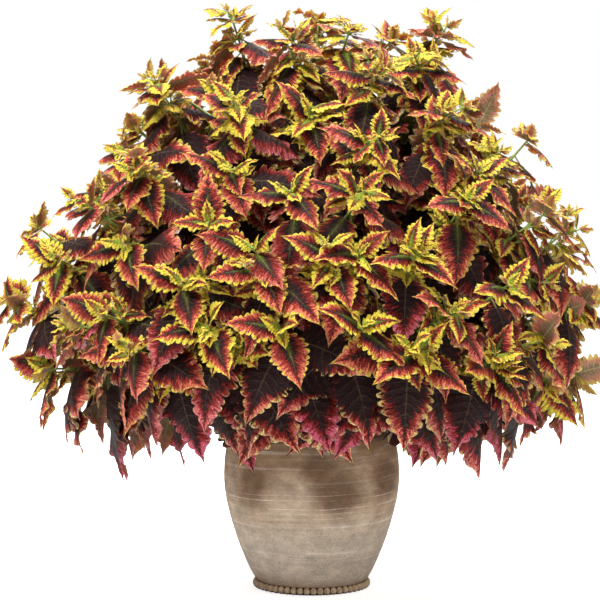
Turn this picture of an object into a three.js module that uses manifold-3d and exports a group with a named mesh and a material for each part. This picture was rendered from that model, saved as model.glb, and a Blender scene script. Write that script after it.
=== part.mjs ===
// A potted coleus: a round clay pot with a beaded foot, potting soil, and a dense mound of
// square-stemmed leafy stems. Each leafy stem stands in its own hole in the soil, forks into
// three shoots, and carries toothed, drip-tipped leaves in opposite pairs, each pair turned a
// quarter turn from the last. Millimetres, +Z up, origin on the pot's axis at its base; the
// plant's front faces -Y.
import * as THREE from "three";
import { mergeVertices } from "three/addons/utils/BufferGeometryUtils.js";
import Module from "manifold-3d";

const wasm = await Module();
wasm.setup();

const up = new THREE.Vector3(0, 0, 1);
const degrees = Math.PI / 180;

// ---- driving dimensions ----

const pot = {
  // outer wall from above the foot to the neck: radius and height
  wall: [[69, 13], [77, 28], [92, 66], [103.5, 110], [105.5, 146], [100, 180], [86, 195]],
  wallSamples: 6,
  sides: 36,
  innerSides: 18,
  thickness: 9,
  floor: 13,
  height: 205.5,
  rimRadius: 88,
  rimBand: 9,
  rimRound: 2,
  drain: { radius: 5, circle: 30, count: 3, sides: 8 },
};
const beads = { count: 53, height: 11, radius: 67.5, relief: 3.6 };
const soil = { edgeHeight: 190, crown: 3, plateau: 67, gap: 0.35 };

const stem = {
  rootDepth: 28, // how far a stem stands in its hole
  radius: 3.4, // half the square section's side, at the soil
  forkRadius: 2.8,
  tipRadius: 1.6,
  holeGap: 0.35,
  lift: 62, // rise out of the soil before it leans outwards, at the mound's full width
  leastLift: 0.6, // share of that rise at the mound's middle
  outermost: 62, // where the lowest stems are rooted, from the pot's axis
  inset: 0.135, // how much nearer the axis for each millimetre that a stem reaches higher
  forkShares: [0.44, 0.4, 0.48, 0.36, 0.52], // of the way to its shoots, in order of choice
  forkRise: 26, // how far the fork stands above the straight way, at the mound's full width
  branchGap: 26, // between one branch and the next below the fork
  branchRadius: 1.6, // at the start of a branch, inside the stem
  lastBend: 54, // the last straight stretch of a shoot, back from its tip
};

// How shoots grow: turns are in degrees, shares are of the way from the fork to the tip.
const shootGrowth = {
  lowest: 230, // from this height up, tips point higher and leaves are smaller
  rise: 12, // a tip's direction above level there
  climb: 56, // what is added towards the top
  climbPower: 1.3,
  riseSpread: 14,
  turnSpread: 24,
  onward: 0.25, // share in which a shoot keeps to its stem's direction
  homeward: 0.42, // share in which it has its tip's direction
  backTilt: 0.7, // how far a shoot's back is turned inwards from straight up
  roll: 45,
  rollSpread: 56,
  vigour: 1.1, // size of the lowest leaves
  vigourLoss: 0.26, // what is taken off towards the top
  vigourSpan: 420,
  vigourSpread: 0.1,
};

// One entry per leaf pair of a shoot, from the youngest at the tip to the oldest. back is the
// distance from the shoot's tip; angle is measured from the shoot's own direction.
const leafPairs = [
  { back: 9, angle: 52, length: 63, width: 42, petiole: 5, droop: 0.5, curl: 50, teeth: 2, ribs: 0 },
  { back: 34, angle: 70, length: 87, width: 60, petiole: 13, droop: 0.85, curl: 60, teeth: 2, ribs: 1 },
  { back: 68, angle: 84, length: 106, width: 73, petiole: 21, droop: 1.05, curl: 58, teeth: 2, ribs: 1 },
];
const leaf = {
  fold: 17, // degrees each half hangs below the midrib
  halfThickness: 0.95, // at the midrib; the blade thins to its edge
  neck: 13, // how far from the stem a petiole reaches its full thickness, at most
  neckWidth: 1.7, // half a petiole's width there
  sink: 1.2, // how far past the stem's axis a leaf is rooted
  rib: 0.42, // where the midrib is thickest
  notch: 0.72, // width at a notch between two teeth
  firstTooth: 0.17,
  toothSpan: 0.62,
  notchShare: 0.62,
  skyward: 0.55, // how strongly the upper face turns to the light
  levelCurl: 0.72, // curl of a level leaf; one that points up curls more, one that hangs less
  risingCurl: 0.28,
  curlRange: [0.85, 1.15],
  sizeRange: [0.95, 1.05],
};
const clearance = 2; // kept between leaves, so that none touches another
const widening = 1.06; // leaves are tested this much wider than they are
const potClearance = 4;
const finest = 0.02; // the smallest step that a joined solid keeps

// Shoot tips of the leafy stems on the front, the two sides and the crown, three to a stem. A tip is
// given by its turn from the front in degrees, its height, and how far it stands out of the
// mound's surface.
const placedTips = [
  [[-66, 682, 26], [-60, 598, 8], [-23, 572, 0]],
  [[-10, 652, 0], [22, 610, 0], [14, 532, 0]],
  [[76, 662, 38], [42, 568, 0], [43, 500, 0]],
  [[-45, 501, 0], [-61, 462, 0], [-22, 444, 0]],
  [[9, 479, 0], [-5, 478, 0], [9, 412, 0]],
  [[80, 540, 14], [36, 470, 0], [67, 455, 0]],
  [[-45, 344, 0], [-26, 380, 0], [-37, 308, 0]],
  [[-12, 418, 0], [-10, 396, 0], [4, 406, 0]],
  [[20, 412, 6], [27, 350, 0], [20, 308, 0]],
  [[52, 312, 0], [38, 290, 0], [41, 376, 4]],
  [[-20, 334, 0], [-6, 332, 0], [9, 336, 0]],
  [[-84, 436, 24], [-83, 345, 22], [-79, 268, 0]],
  [[78, 432, 0], [74, 352, 10], [85, 258, 4]],
  [[172, 688, 0], [-122, 644, 0], [122, 624, 0]],
];
// Tiers of leafy stems round the back: how many, at what height and over which arc of turns.
// Their three shoots stand in a triangle round the stem's own direction, a little out of line.
const backTiers = [
  { count: 3, height: 285, from: 111, to: 249, across: 105, rise: 45 },
  { count: 3, height: 436, from: 116, to: 244, across: 92, rise: 46 },
  { count: 1, height: 580, from: 180, to: 180, across: 120, rise: 46 },
];
const backDisorder = { across: 0.16, rise: 0.3 };
// The surface that the shoots' tips reach: a dome above its base height, tapered below it.
const mound = { base: 310, top: 702, radius: 330, taper: 0.25, shoulder: 1.8, crown: 0.6 };
const lowestTier = 245;

// ---- small helpers ----

const vec = (x, y, z) => new THREE.Vector3(x, y, z);
const mix = THREE.MathUtils.lerp;

// The same run of numbers from 0 to 1 for the same seed.
function seededRandom(seed) {
  let state = seed >>> 0;
  return () => {
    state = (Math.imul(state, 1664525) + 1013904223) >>> 0;
    return state / 4294967296;
  };
}

// A point on a Bezier curve of any degree.
function bezier(points, t) {
  let level = points;
  while (level.length > 1) {
    level = level.slice(1).map((point, i) => level[i].clone().lerp(point, t));
  }
  return level[0];
}

// The part of a vector that is square to a direction, at unit length.
const squareTo = (v, direction) => v.clone().addScaledVector(direction, -v.dot(direction)).normalize();

// A closed solid from a three.js geometry.
function solidOf(geometry) {
  const bare = geometry.clone();
  bare.deleteAttribute("normal");
  bare.deleteAttribute("uv");
  const merged = mergeVertices(bare, 1e-4);
  return new wasm.Manifold(
    new wasm.Mesh({
      numProp: 3,
      vertProperties: new Float32Array(merged.attributes.position.array),
      triVerts: new Uint32Array(merged.index.array),
    }),
  );
}

function solidFrom(points, triangles) {
  const geometry = new THREE.BufferGeometry().setFromPoints(points);
  geometry.setIndex(triangles.flat());
  return solidOf(geometry);
}

function geometryOf(solid) {
  const mesh = solid.getMesh();
  return new THREE.BufferGeometry()
    .setAttribute("position", new THREE.BufferAttribute(mesh.vertProperties, 3))
    .setIndex(new THREE.BufferAttribute(mesh.triVerts, 1))
    .toNonIndexed();
}

// The band of triangles between two rings, which may differ in their number of points.
function bandBetween(below, above, firstBelow, firstAbove) {
  const triangles = [];
  let i = 0;
  let j = 0;
  while (i < below || j < above) {
    const a = firstBelow + (i % below);
    const b = firstAbove + (j % above);
    if (j === above || (i < below && (i + 1) / below <= (j + 1) / above)) {
      i += 1;
      triangles.push([a, firstBelow + (i % below), b]);
    } else {
      j += 1;
      triangles.push([a, firstAbove + (j % above), b]);
    }
  }
  return triangles;
}

// The side walls of a stack of rings.
function bandsOf(rings) {
  let first = 0;
  return rings.slice(1).flatMap((ring, r) => {
    const below = rings[r].length;
    const band = bandBetween(below, ring.length, first, first + below);
    first += below;
    return band;
  });
}

// Joins rings into one closed solid; the first and the last ring are its flat ends.
function loft(rings) {
  const points = rings.flat();
  const triangles = bandsOf(rings);
  const lastRing = rings.at(-1).length;
  const last = points.length - lastRing;
  for (let s = 1; s + 1 < rings[0].length; s++) triangles.push([0, s + 1, s]);
  for (let s = 1; s + 1 < lastRing; s++) triangles.push([last, last + s, last + s + 1]);
  return solidFrom(points, triangles);
}

// A level ring of points round the Z axis; every second one stands out by relief.
function levelRing(radius, z, sides, relief = 0) {
  return Array.from({ length: sides }, (_, i) => {
    const turn = (i * 2 * Math.PI) / sides;
    const r = radius + (i % 2 ? relief : 0);
    return vec(r * Math.cos(turn), r * Math.sin(turn), z);
  });
}

// ---- pot ----

const wallCurve = new THREE.SplineCurve(pot.wall.map(([r, z]) => new THREE.Vector2(r, z)));
const outerWall = wallCurve.getPoints(pot.wallSamples).map((p) => ({ radius: p.x, z: p.y }));
const innerWall = outerWall
  .filter((p) => p.z > pot.floor + pot.thickness)
  .map((p) => ({ radius: p.radius - pot.thickness, z: p.z }));
const floorRadius = innerWall[0].radius - pot.thickness;

// The radius of a wall at a height, between its lowest and its highest ring.
function radiusAt(wall, z) {
  const above = Math.max(wall.findIndex((p) => p.z >= z), 1);
  const [a, b] = [wall[above - 1], wall[above]];
  return mix(a.radius, b.radius, (z - a.z) / (b.z - a.z));
}

function buildPot() {
  const rimLow = pot.height - pot.rimBand;
  const rimInner = innerWall.at(-1).radius;
  const outside = (radius, z) => levelRing(radius, z, pot.sides);
  const inside = (radius, z) => levelRing(radius, z, pot.innerSides);
  const body = loft([
    levelRing(beads.radius - 2, 0, 2 * beads.count),
    levelRing(beads.radius, beads.height / 2, 2 * beads.count, beads.relief),
    levelRing(beads.radius - 1, beads.height, beads.count),
    ...outerWall.map((p) => outside(p.radius, p.z)),
    outside(pot.rimRadius, rimLow + 1),
    outside(pot.rimRadius, pot.height - pot.rimRound),
    outside(pot.rimRadius - pot.rimRound, pot.height),
    inside(rimInner + pot.rimRound, pot.height),
    ...innerWall.toReversed().map((p) => inside(p.radius, p.z)),
    inside(floorRadius, pot.floor),
  ]);
  const { radius, circle, count, sides } = pot.drain;
  return Array.from({ length: count }, (_, i) => (i * 2 * Math.PI) / count).reduce((rest, turn) => {
    const drill = new THREE.CylinderGeometry(radius, radius, 3 * pot.floor, sides)
      .rotateX(Math.PI / 2)
      .translate(circle * Math.cos(turn), circle * Math.sin(turn), 0);
    return rest.subtract(solidOf(drill));
  }, body);
}

// ---- the plant's growth ----

const moundRadius = (z) =>
  z < mound.base
    ? mound.radius - (mound.base - z) * mound.taper
    : mound.radius * (1 - ((z - mound.base) / (mound.top - mound.base)) ** mound.shoulder) ** mound.crown;

// A point given by its turn from the front, its height and how far it stands out.
function onMound(turn, z, out = 0) {
  const r = moundRadius(z) + out;
  return vec(r * Math.sin(turn * degrees), -r * Math.cos(turn * degrees), z);
}

function backTips() {
  const random = seededRandom(11);
  const corners = [[0, 1], [-1, -0.7], [1, -0.7]];
  return backTiers.flatMap((tier) => {
    const reach = tier.across / moundRadius(tier.height) / degrees;
    return Array.from({ length: tier.count }, (_, i) => {
      const turn = mix(tier.from, tier.to, i / Math.max(tier.count - 1, 1));
      const flip = i % 2 ? -1 : 1;
      return corners.map(([side, rise]) => {
        const aside = turn + reach * (side + backDisorder.across * (random() - 0.5));
        const z = tier.height + tier.rise * (flip * rise + backDisorder.rise * (random() - 0.5));
        return [aside, z, 0];
      });
    });
  });
}

// The direction in which a shoot's tip points: outwards low down, upwards at the top.
function tipDirection(tip, random) {
  const { lowest, climb, climbPower, riseSpread, turnSpread } = shootGrowth;
  const height = THREE.MathUtils.clamp((tip.z - lowest) / (mound.top - lowest), 0, 1);
  const climbed = climb * height ** climbPower;
  const rise = (shootGrowth.rise + climbed + riseSpread * (random() - 0.5)) * degrees;
  const turn = Math.atan2(tip.y, tip.x) + turnSpread * degrees * (random() - 0.5);
  return vec(Math.cos(turn) * Math.cos(rise), Math.sin(turn) * Math.cos(rise), Math.sin(rise));
}

// One shoot of a stem, as a line of three points from its start to its tip.
function growShoot(tip, k, bend, fork, outwards, random) {
  const { lowest, vigour, vigourLoss, vigourSpan, vigourSpread } = shootGrowth;
  const onward = fork.clone().sub(bend).normalize();
  const direction = tipDirection(tip, random);
  const span = tip.distanceTo(fork);
  const path = [
    fork,
    fork.clone().addScaledVector(onward, shootGrowth.onward * span),
    tip.clone().addScaledVector(direction, -shootGrowth.homeward * span),
    tip,
  ];
  const height = THREE.MathUtils.clamp((tip.z - lowest) / vigourSpan, 0, 1);
  const start = fork.clone().addScaledVector(onward, -stem.branchGap * k);
  return {
    line: [start, bezier(path, 1 - stem.lastBend / (1.05 * span)), tip],
    // the way a shoot's back faces, from which its leaf pairs are turned
    back: up.clone().addScaledVector(outwards, -shootGrowth.backTilt),
    roll: (shootGrowth.roll + shootGrowth.rollSpread * (random() - 0.5)) * degrees,
    vigour: vigour - vigourLoss * height + vigourSpread * (random() - 0.5),
    leaves: [],
  };
}

// A leafy stem: its foot in the soil, where it bends and forks, and its three shoots.
function growStem(tips, index, forkShare, swing) {
  const random = seededRandom(500 + index * 37);
  const ends = tips.map((tip) => onMound(...tip));
  const middle = ends.reduce((sum, p) => sum.add(p), vec(0, 0, 0)).divideScalar(ends.length);
  const reach = Math.hypot(middle.x, middle.y) / mound.radius;
  const outwards = vec(middle.x, middle.y, 0).normalize();
  const rootRadius = stem.outermost - stem.inset * (middle.z - lowestTier);
  const root = vec(0, 0, soil.edgeHeight + soil.crown).addScaledVector(outwards, rootRadius);
  const fork = root.clone().lerp(middle, forkShare);
  fork.z += stem.forkRise * reach;
  fork.addScaledVector(up.clone().cross(outwards), swing);
  const lean = root.clone().addScaledVector(up, stem.lift * mix(stem.leastLift, 1, reach));
  const bend = bezier([root, lean, fork], 0.5);
  return {
    index,
    foot: root.clone().addScaledVector(up, -stem.rootDepth),
    root,
    bend,
    shoots: ends.map((tip, k) => growShoot(tip, k, bend, fork, outwards, random)),
  };
}

// A stem forks where its tubes stay clear of the stems that are there already.
function growClearStem(tips, index, standing) {
  const ways = stem.forkShares.flatMap((share) => [0, 9, -9, 18, -18].map((swing) => [share, swing]));
  for (const [share, swing] of ways) {
    const plant = growStem(tips, index, share, swing);
    const tubes = stemBodies(plant, 1);
    if (!tubes.some((tube) => standing.some((other) => bodiesMeet(tube, other)))) return plant;
  }
  return growStem(tips, index, ...ways[0]);
}

// Two directions that a stem's square section faces, and that its leaves grow in.
function sectionFrame(shoot, along) {
  const side = squareTo(shoot.back, along).applyAxisAngle(along, shoot.roll);
  return [side, along.clone().cross(side)];
}

// Square sections along a line of points. The first ones stand level, where the stem is upright.
function squareRings(points, radii, shoot, uprightCount = 0) {
  return points.map((point, i) => {
    const before = points[Math.max(i - 1, 0)];
    const after = points[Math.min(i + 1, points.length - 1)];
    const along = i < uprightCount ? up : after.clone().sub(before).normalize();
    const [side, other] = sectionFrame(shoot, along);
    return [[1, 1], [-1, 1], [-1, -1], [1, -1]].map(([a, b]) =>
      point.clone().addScaledVector(side, a * radii[i]).addScaledVector(other, b * radii[i]),
    );
  });
}

// The stem's tubes: the first runs from its foot into its first shoot, the others branch off.
function stemTubes(plant, grow = 0) {
  const shootRadii = [0, 0.7, 1].map((t) => mix(stem.forkRadius, stem.tipRadius, t) + grow);
  return plant.shoots.map((shoot, k) => {
    if (k > 0) return squareRings(shoot.line, [stem.branchRadius + grow, ...shootRadii.slice(1)], shoot);
    const mainRadii = [1, 1, 0.5].map((t) => mix(stem.forkRadius, stem.radius, t) + grow);
    const points = [plant.foot, plant.root, plant.bend, ...shoot.line];
    return squareRings(points, [...mainRadii, ...shootRadii], shoot, 2);
  });
}

// ---- leaves ----

// Half-width of a blade along its length, from 0 at the base to 1 at the tip: widest at a
// third, drawn out into a thin drip tip.
const bladeWidth = (u) => 3.083 * u ** 0.55 * (1 - u) ** 1.3;

// A point on the midrib, an arc that bends away from the upper face, and the normal there.
function midrib(pose, u) {
  const bend = pose.curl * u;
  const run = Math.sin(bend) / pose.curl;
  const fall = (1 - Math.cos(bend)) / pose.curl;
  const point = pose.base
    .clone()
    .addScaledVector(pose.heading, pose.length * run)
    .addScaledVector(pose.face, -pose.length * fall);
  const normal = pose.face
    .clone()
    .multiplyScalar(Math.cos(bend))
    .addScaledVector(pose.heading, Math.sin(bend));
  return { point, normal };
}

// A point on the blade's edge: u along it, hand 1 or -1, share of the full width there.
function edgePoint(pose, u, hand, share) {
  const { point, normal } = midrib(pose, u);
  const half = 0.5 * pose.width * bladeWidth(u) * share;
  return point
    .addScaledVector(pose.side, hand * half * Math.cos(leaf.fold * degrees))
    .addScaledVector(normal, -half * Math.sin(leaf.fold * degrees));
}

// Teeth and the notches between them down one side, as [u, share of the full width].
function toothLine(teeth) {
  const step = leaf.toothSpan / teeth;
  return Array.from({ length: teeth }, (_, i) => leaf.firstTooth + i * step).flatMap((u, i) => [
    [u, 1],
    ...(i + 1 < teeth ? [[u + leaf.notchShare * step, leaf.notch]] : []),
  ]);
}

// The flat pattern of a leaf, used alike for both faces. spine lists the points that carry
// its thickness: the neck and perhaps a rib; rim lists the sharp edge, from the root and
// the tip to the teeth of each side; the triangles number the spine first.
function leafPattern(pose, growth = 1) {
  const reach = Math.min(pose.petiole, leaf.neck) + leaf.sink;
  const neck = pose.root.clone().addScaledVector(pose.heading, reach);
  const spine = [{ point: neck, normal: pose.face }];
  if (pose.ribs) spine.push(midrib(pose, leaf.rib));
  const [root, tip] = [spine.length, spine.length + 1];
  const rim = [pose.root, midrib(pose, 1).point];
  const triangles = [];
  for (const hand of [1, -1]) {
    const side = [
      neck.clone().addScaledVector(pose.side, hand * leaf.neckWidth),
      ...toothLine(pose.teeth).map(([u, share]) => edgePoint(pose, u, hand, share * growth)),
    ];
    const chain = [root, ...side.map((_, i) => spine.length + rim.length + i), tip];
    rim.push(...side);
    const faced = (a, b, c) => (hand > 0 ? [a, b, c] : [a, c, b]);
    chain.slice(1).forEach((corner, i) => {
      triangles.push(faced(i > 1 ? pose.ribs : 0, chain[i], corner));
    });
    if (pose.ribs) triangles.push(faced(0, chain[2], 1));
  }
  return { spine, rim, root, triangles };
}

// A leaf's thin solid: it swells at the midrib and closes at the edge.
function leafSolid(pose) {
  const { spine, rim, triangles } = leafPattern(pose);
  const shifted = (by) => spine.map(({ point, normal }) => point.clone().addScaledVector(normal, by));
  const points = [...shifted(leaf.halfThickness), ...rim, ...shifted(-leaf.halfThickness)];
  const below = (i) => (i < spine.length ? i + spine.length + rim.length : i);
  const underside = triangles.map(([a, b, c]) => [below(a), below(c), below(b)]);
  return solidFrom(points, [...triangles, ...underside]);
}

// Where a leaf stands for one choice of turn, tilt and size.
function leafPose(shoot, level, hand, choice) {
  const pair = leafPairs[level];
  const line = shoot.line;
  const last = line[2].distanceTo(line[1]);
  const back = pair.back * shoot.vigour;
  const [from, to, reach] = back < last ? [line[2], line[1], back] : [line[1], line[0], back - last];
  const axis = from.clone().sub(to).normalize();
  const joint = from.clone().addScaledVector(axis, -Math.min(reach, 0.8 * from.distanceTo(to)));
  const turn = shoot.roll + level * 90 * degrees + (hand > 0 ? 0 : Math.PI) + choice.turn;
  const outwards = squareTo(shoot.back, axis).applyAxisAngle(axis, turn);
  const tilt = pair.angle * degrees + choice.tilt;
  const heading = outwards
    .clone()
    .multiplyScalar(Math.sin(tilt))
    .addScaledVector(axis, Math.cos(tilt))
    .addScaledVector(up, -pair.droop)
    .normalize();
  const face = squareTo(axis.clone().addScaledVector(up, leaf.skyward), heading);
  const size = shoot.vigour * choice.size;
  return {
    root: joint.clone().addScaledVector(heading, -leaf.sink),
    base: joint.clone().addScaledVector(heading, pair.petiole * size),
    heading,
    face,
    side: heading.clone().cross(face),
    petiole: pair.petiole * size,
    length: pair.length * size,
    width: pair.width * size,
    curl: pair.curl * degrees * (leaf.levelCurl + leaf.risingCurl * heading.z) * choice.curl,
    teeth: pair.teeth,
    ribs: pair.ribs,
  };
}

// The ways a leaf may turn aside for its neighbours, the natural one first.
function leafChoices(random) {
  const lean = random() < 0.5 ? 1 : -1;
  const curl = mix(...leaf.curlRange, random());
  const growth = mix(...leaf.sizeRange, random());
  return [1, 0.88, 0.77].flatMap((size) =>
    [0, 13, -13, -26].flatMap((tilt) =>
      [0, 12, -12, 24, -24, 36, -36].map((turn) => ({
        turn: lean * turn * degrees,
        tilt: tilt * degrees,
        size: size * growth,
        curl,
      })),
    ),
  );
}

// ---- keeping leaves clear of each other ----

// A body that leaves keep clear of. owner says which stem and shoot it belongs to.
function obstacle(points, triangles, owner) {
  const faces = triangles.map((t) => t.map((i) => points[i]));
  return {
    ...owner,
    faces,
    boxes: faces.map((face) => new THREE.Box3().setFromPoints(face)),
    sphere: new THREE.Box3().setFromPoints(points).getBoundingSphere(new THREE.Sphere()),
  };
}

function segmentMeets(p, q, [a, b, c]) {
  const along = q.clone().sub(p);
  const first = b.clone().sub(a);
  const second = c.clone().sub(a);
  const across = along.clone().cross(second);
  const size = first.dot(across);
  if (Math.abs(size) < 1e-9) return false;
  const start = p.clone().sub(a);
  const u = start.dot(across) / size;
  const turned = start.clone().cross(first);
  const v = along.dot(turned) / size;
  const t = second.dot(turned) / size;
  return u >= 0 && v >= 0 && u + v <= 1 && t >= 0 && t <= 1;
}

const facesMeet = (s, t) =>
  [0, 1, 2].some((k) => segmentMeets(s[k], s[(k + 1) % 3], t) || segmentMeets(t[k], t[(k + 1) % 3], s));

const bodiesMeet = (one, other) =>
  one.sphere.intersectsSphere(other.sphere) &&
  one.faces.some((s, i) =>
    other.faces.some((t, j) => one.boxes[i].intersectsBox(other.boxes[j]) && facesMeet(s, t)),
  );

// A blade's middle surface, shifted by each layer in turn; its root lies in the stem and is
// left out.
function bladeBody(pose, owner, layers) {
  const { spine, rim, root, triangles } = leafPattern(pose, widening);
  const normals = [...spine.map(({ normal }) => normal), ...rim.map(() => pose.face)];
  const middle = [...spine.map(({ point }) => point), ...rim];
  const points = layers.flatMap((by) => middle.map((p, i) => p.clone().addScaledVector(normals[i], by)));
  const faces = layers.flatMap((_, k) =>
    triangles.filter((t) => !t.includes(root)).map((t) => t.map((i) => i + k * middle.length)),
  );
  return obstacle(points, faces, { ...owner, kind: "blade" });
}

function petioleBody(pose, owner) {
  const { rim } = leafPattern(pose);
  const start = pose.root.clone().lerp(rim[2], 0.3);
  const half = pose.side.clone().multiplyScalar(clearance / 2);
  const points = [start, rim[2].clone().add(half), rim.at(pose.teeth * 2 + 2).clone().sub(half)];
  return obstacle(points, [[0, 1, 2]], { ...owner, kind: "petiole" });
}

// No leaf may reach into the pot or the soil.
function clearsPot(points) {
  return points.every((p) => {
    if (p.z > pot.height + potClearance) return true;
    const onRim = p.z > pot.height - pot.rimBand;
    const wall = onRim ? pot.rimRadius : radiusAt(outerWall, Math.max(p.z, outerWall[0].z));
    return Math.hypot(p.x, p.y) > wall + potClearance;
  });
}

function isBlocked(blade, petiole, placed) {
  return placed.some((other) => {
    if (other.node !== blade.node) return bodiesMeet(blade, other) || bodiesMeet(petiole, other);
    const own = other.kind === "petiole" || (other.kind === "stem" && other.shoot === blade.shoot);
    return !own && bodiesMeet(blade, other);
  });
}

// Gives a shoot the leaf of this level and hand, in the first place that is clear.
function growLeaf(plant, shoot, k, level, hand, placed) {
  const random = seededRandom(9000 + plant.index * 211 + k * 61 + level * 17 + (hand > 0 ? 5 : 3));
  const owner = { node: plant.index, shoot: k };
  for (const choice of leafChoices(random)) {
    const pose = leafPose(shoot, level, hand, choice);
    const blade = bladeBody(pose, owner, [0]);
    const petiole = petioleBody(pose, owner);
    if (clearsPot(blade.faces.flat()) && !isBlocked(blade, petiole, placed)) {
      shoot.leaves.push(pose);
      placed.push(bladeBody(pose, owner, [-clearance, 0, clearance]), petiole);
      return;
    }
  }
}

const stemBodies = (plant, grow) =>
  stemTubes(plant, grow).map((rings, k) =>
    obstacle(rings.flat(), bandsOf(rings), { node: plant.index, shoot: k, kind: "stem" }),
  );

function growPlant() {
  const plants = [];
  const placed = [];
  for (const [index, tips] of [...placedTips, ...backTips()].entries()) {
    const plant = growClearStem(tips, index, placed);
    plants.push(plant);
    placed.push(...stemBodies(plant, clearance));
  }
  for (const level of leafPairs.keys()) {
    for (const plant of plants) {
      for (const [k, shoot] of plant.shoots.entries()) {
        for (const hand of [1, -1]) growLeaf(plant, shoot, k, level, hand, placed);
      }
    }
  }
  return plants;
}

// ---- the plant's solids ----

// Tubes and leaves joined into one body, without the slivers where they cross.
function buildStem(plant) {
  const leaves = plant.shoots.flatMap((shoot) => shoot.leaves.map(leafSolid));
  const pieces = [...stemTubes(plant).map(loft), ...leaves];
  return pieces.reduce((sum, solid) => sum.add(solid)).simplify(finest);
}

function buildSoil(plants) {
  const ring = (radius, z) => levelRing(radius - soil.gap, z, pot.innerSides);
  const bed = loft([
    ring(floorRadius, pot.floor + soil.gap),
    ...innerWall.filter((p) => p.z < soil.edgeHeight).map((p) => ring(p.radius, p.z)),
    ring(radiusAt(innerWall, soil.edgeHeight), soil.edgeHeight),
    levelRing(soil.plateau, soil.edgeHeight + soil.crown, pot.innerSides),
  ]);
  const width = 2 * (stem.radius + stem.holeGap);
  const depth = stem.rootDepth + soil.gap;
  return plants.reduce((rest, { root, shoots }) => {
    const [side] = sectionFrame(shoots[0], up);
    const hole = new THREE.BoxGeometry(width, width, 2 * depth)
      .rotateZ(Math.atan2(side.y, side.x))
      .translate(root.x, root.y, root.z);
    return rest.subtract(solidOf(hole));
  }, bed);
}

// ---- the object ----

const materials = {
  clay: new THREE.MeshStandardMaterial({ color: 0xa08c76, roughness: 0.85, metalness: 0 }),
  soil: new THREE.MeshStandardMaterial({ color: 0x3a2b20, roughness: 1, metalness: 0 }),
  foliage: new THREE.MeshStandardMaterial({ color: 0x9c2f3a, roughness: 0.6, metalness: 0 }),
};

const coleus = new THREE.Group();
coleus.name = "potted_coleus";

function addNode(name, solid, material) {
  const mesh = new THREE.Mesh(geometryOf(solid), material);
  mesh.name = name;
  coleus.add(mesh);
}

const plants = growPlant();
addNode("pot", buildPot(), materials.clay);
addNode("soil", buildSoil(plants), materials.soil);
plants.forEach((plant, i) => {
  addNode(`leafy_stem_${String(i + 1).padStart(2, "0")}`, buildStem(plant), materials.foliage);
});

export default coleus;
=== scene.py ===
# A coleus in its clay pot. The frame holds the pot, the soil and one plain solid for each leafy
# stem. This script grows the same stems again, finds each leaf where the frame has it, and dresses
# them with lobed and coloured leaves, buds, older leaves, side shoots and fill shoots.
# The growth is worked out in millimetres, the meshes are in metres.
import math

import bmesh
import bpy
import numpy as np
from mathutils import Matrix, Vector
from mathutils.bvhtree import BVHTree
from mathutils.kdtree import KDTree


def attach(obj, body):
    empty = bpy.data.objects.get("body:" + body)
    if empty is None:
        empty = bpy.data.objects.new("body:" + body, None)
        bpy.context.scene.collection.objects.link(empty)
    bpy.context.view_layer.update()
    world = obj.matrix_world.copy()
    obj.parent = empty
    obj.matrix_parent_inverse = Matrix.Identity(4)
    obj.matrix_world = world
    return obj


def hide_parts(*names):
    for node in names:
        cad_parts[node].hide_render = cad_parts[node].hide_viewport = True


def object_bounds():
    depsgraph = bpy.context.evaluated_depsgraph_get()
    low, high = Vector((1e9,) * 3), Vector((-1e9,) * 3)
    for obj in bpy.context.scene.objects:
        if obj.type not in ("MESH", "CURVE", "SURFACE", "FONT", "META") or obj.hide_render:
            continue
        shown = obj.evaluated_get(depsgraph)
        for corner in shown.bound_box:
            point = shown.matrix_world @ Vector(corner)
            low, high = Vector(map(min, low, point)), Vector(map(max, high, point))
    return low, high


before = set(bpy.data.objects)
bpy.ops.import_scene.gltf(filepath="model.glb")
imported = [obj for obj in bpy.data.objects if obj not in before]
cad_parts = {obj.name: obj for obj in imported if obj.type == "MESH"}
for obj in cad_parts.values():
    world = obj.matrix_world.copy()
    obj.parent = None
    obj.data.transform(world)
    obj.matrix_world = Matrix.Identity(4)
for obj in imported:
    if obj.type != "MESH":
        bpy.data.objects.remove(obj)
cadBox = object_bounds()
mm = 0.001
print("frame loaded")

# how the stems and shoots grow, as in the frame
stemGrowth = {
    "soilTop": 193,
    "rootDepth": 28,
    "radius": 3.4,
    "forkRadius": 2.8,
    "tipRadius": 1.6,
    "lift": 62,
    "leastLift": 0.6,
    "outermost": 62,
    "inset": 0.135,
    "lowestTier": 245,
    "forkShares": (0.44, 0.4, 0.48, 0.36, 0.52),
    "swings": (0, 9, -9, 18, -18),
    "forkRise": 26,
    "branchGap": 26,
    "lastBend": 54,
}
shootGrowth = {
    "lowest": 230,
    "rise": 12,
    "climb": 56,
    "climbPower": 1.3,
    "riseSpread": 14,
    "turnSpread": 24,
    "onward": 0.25,
    "homeward": 0.42,
    "bulge": 1.05,
    "backTilt": 0.7,
    "roll": 45,
    "rollSpread": 56,
    "vigour": 1.1,
    "vigourLoss": 0.26,
    "vigourSpan": 420,
    "vigourSpread": 0.1,
}
mound = {"base": 310, "top": 702, "radius": 330, "taper": 0.25, "shoulder": 1.8, "crown": 0.6}
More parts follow.
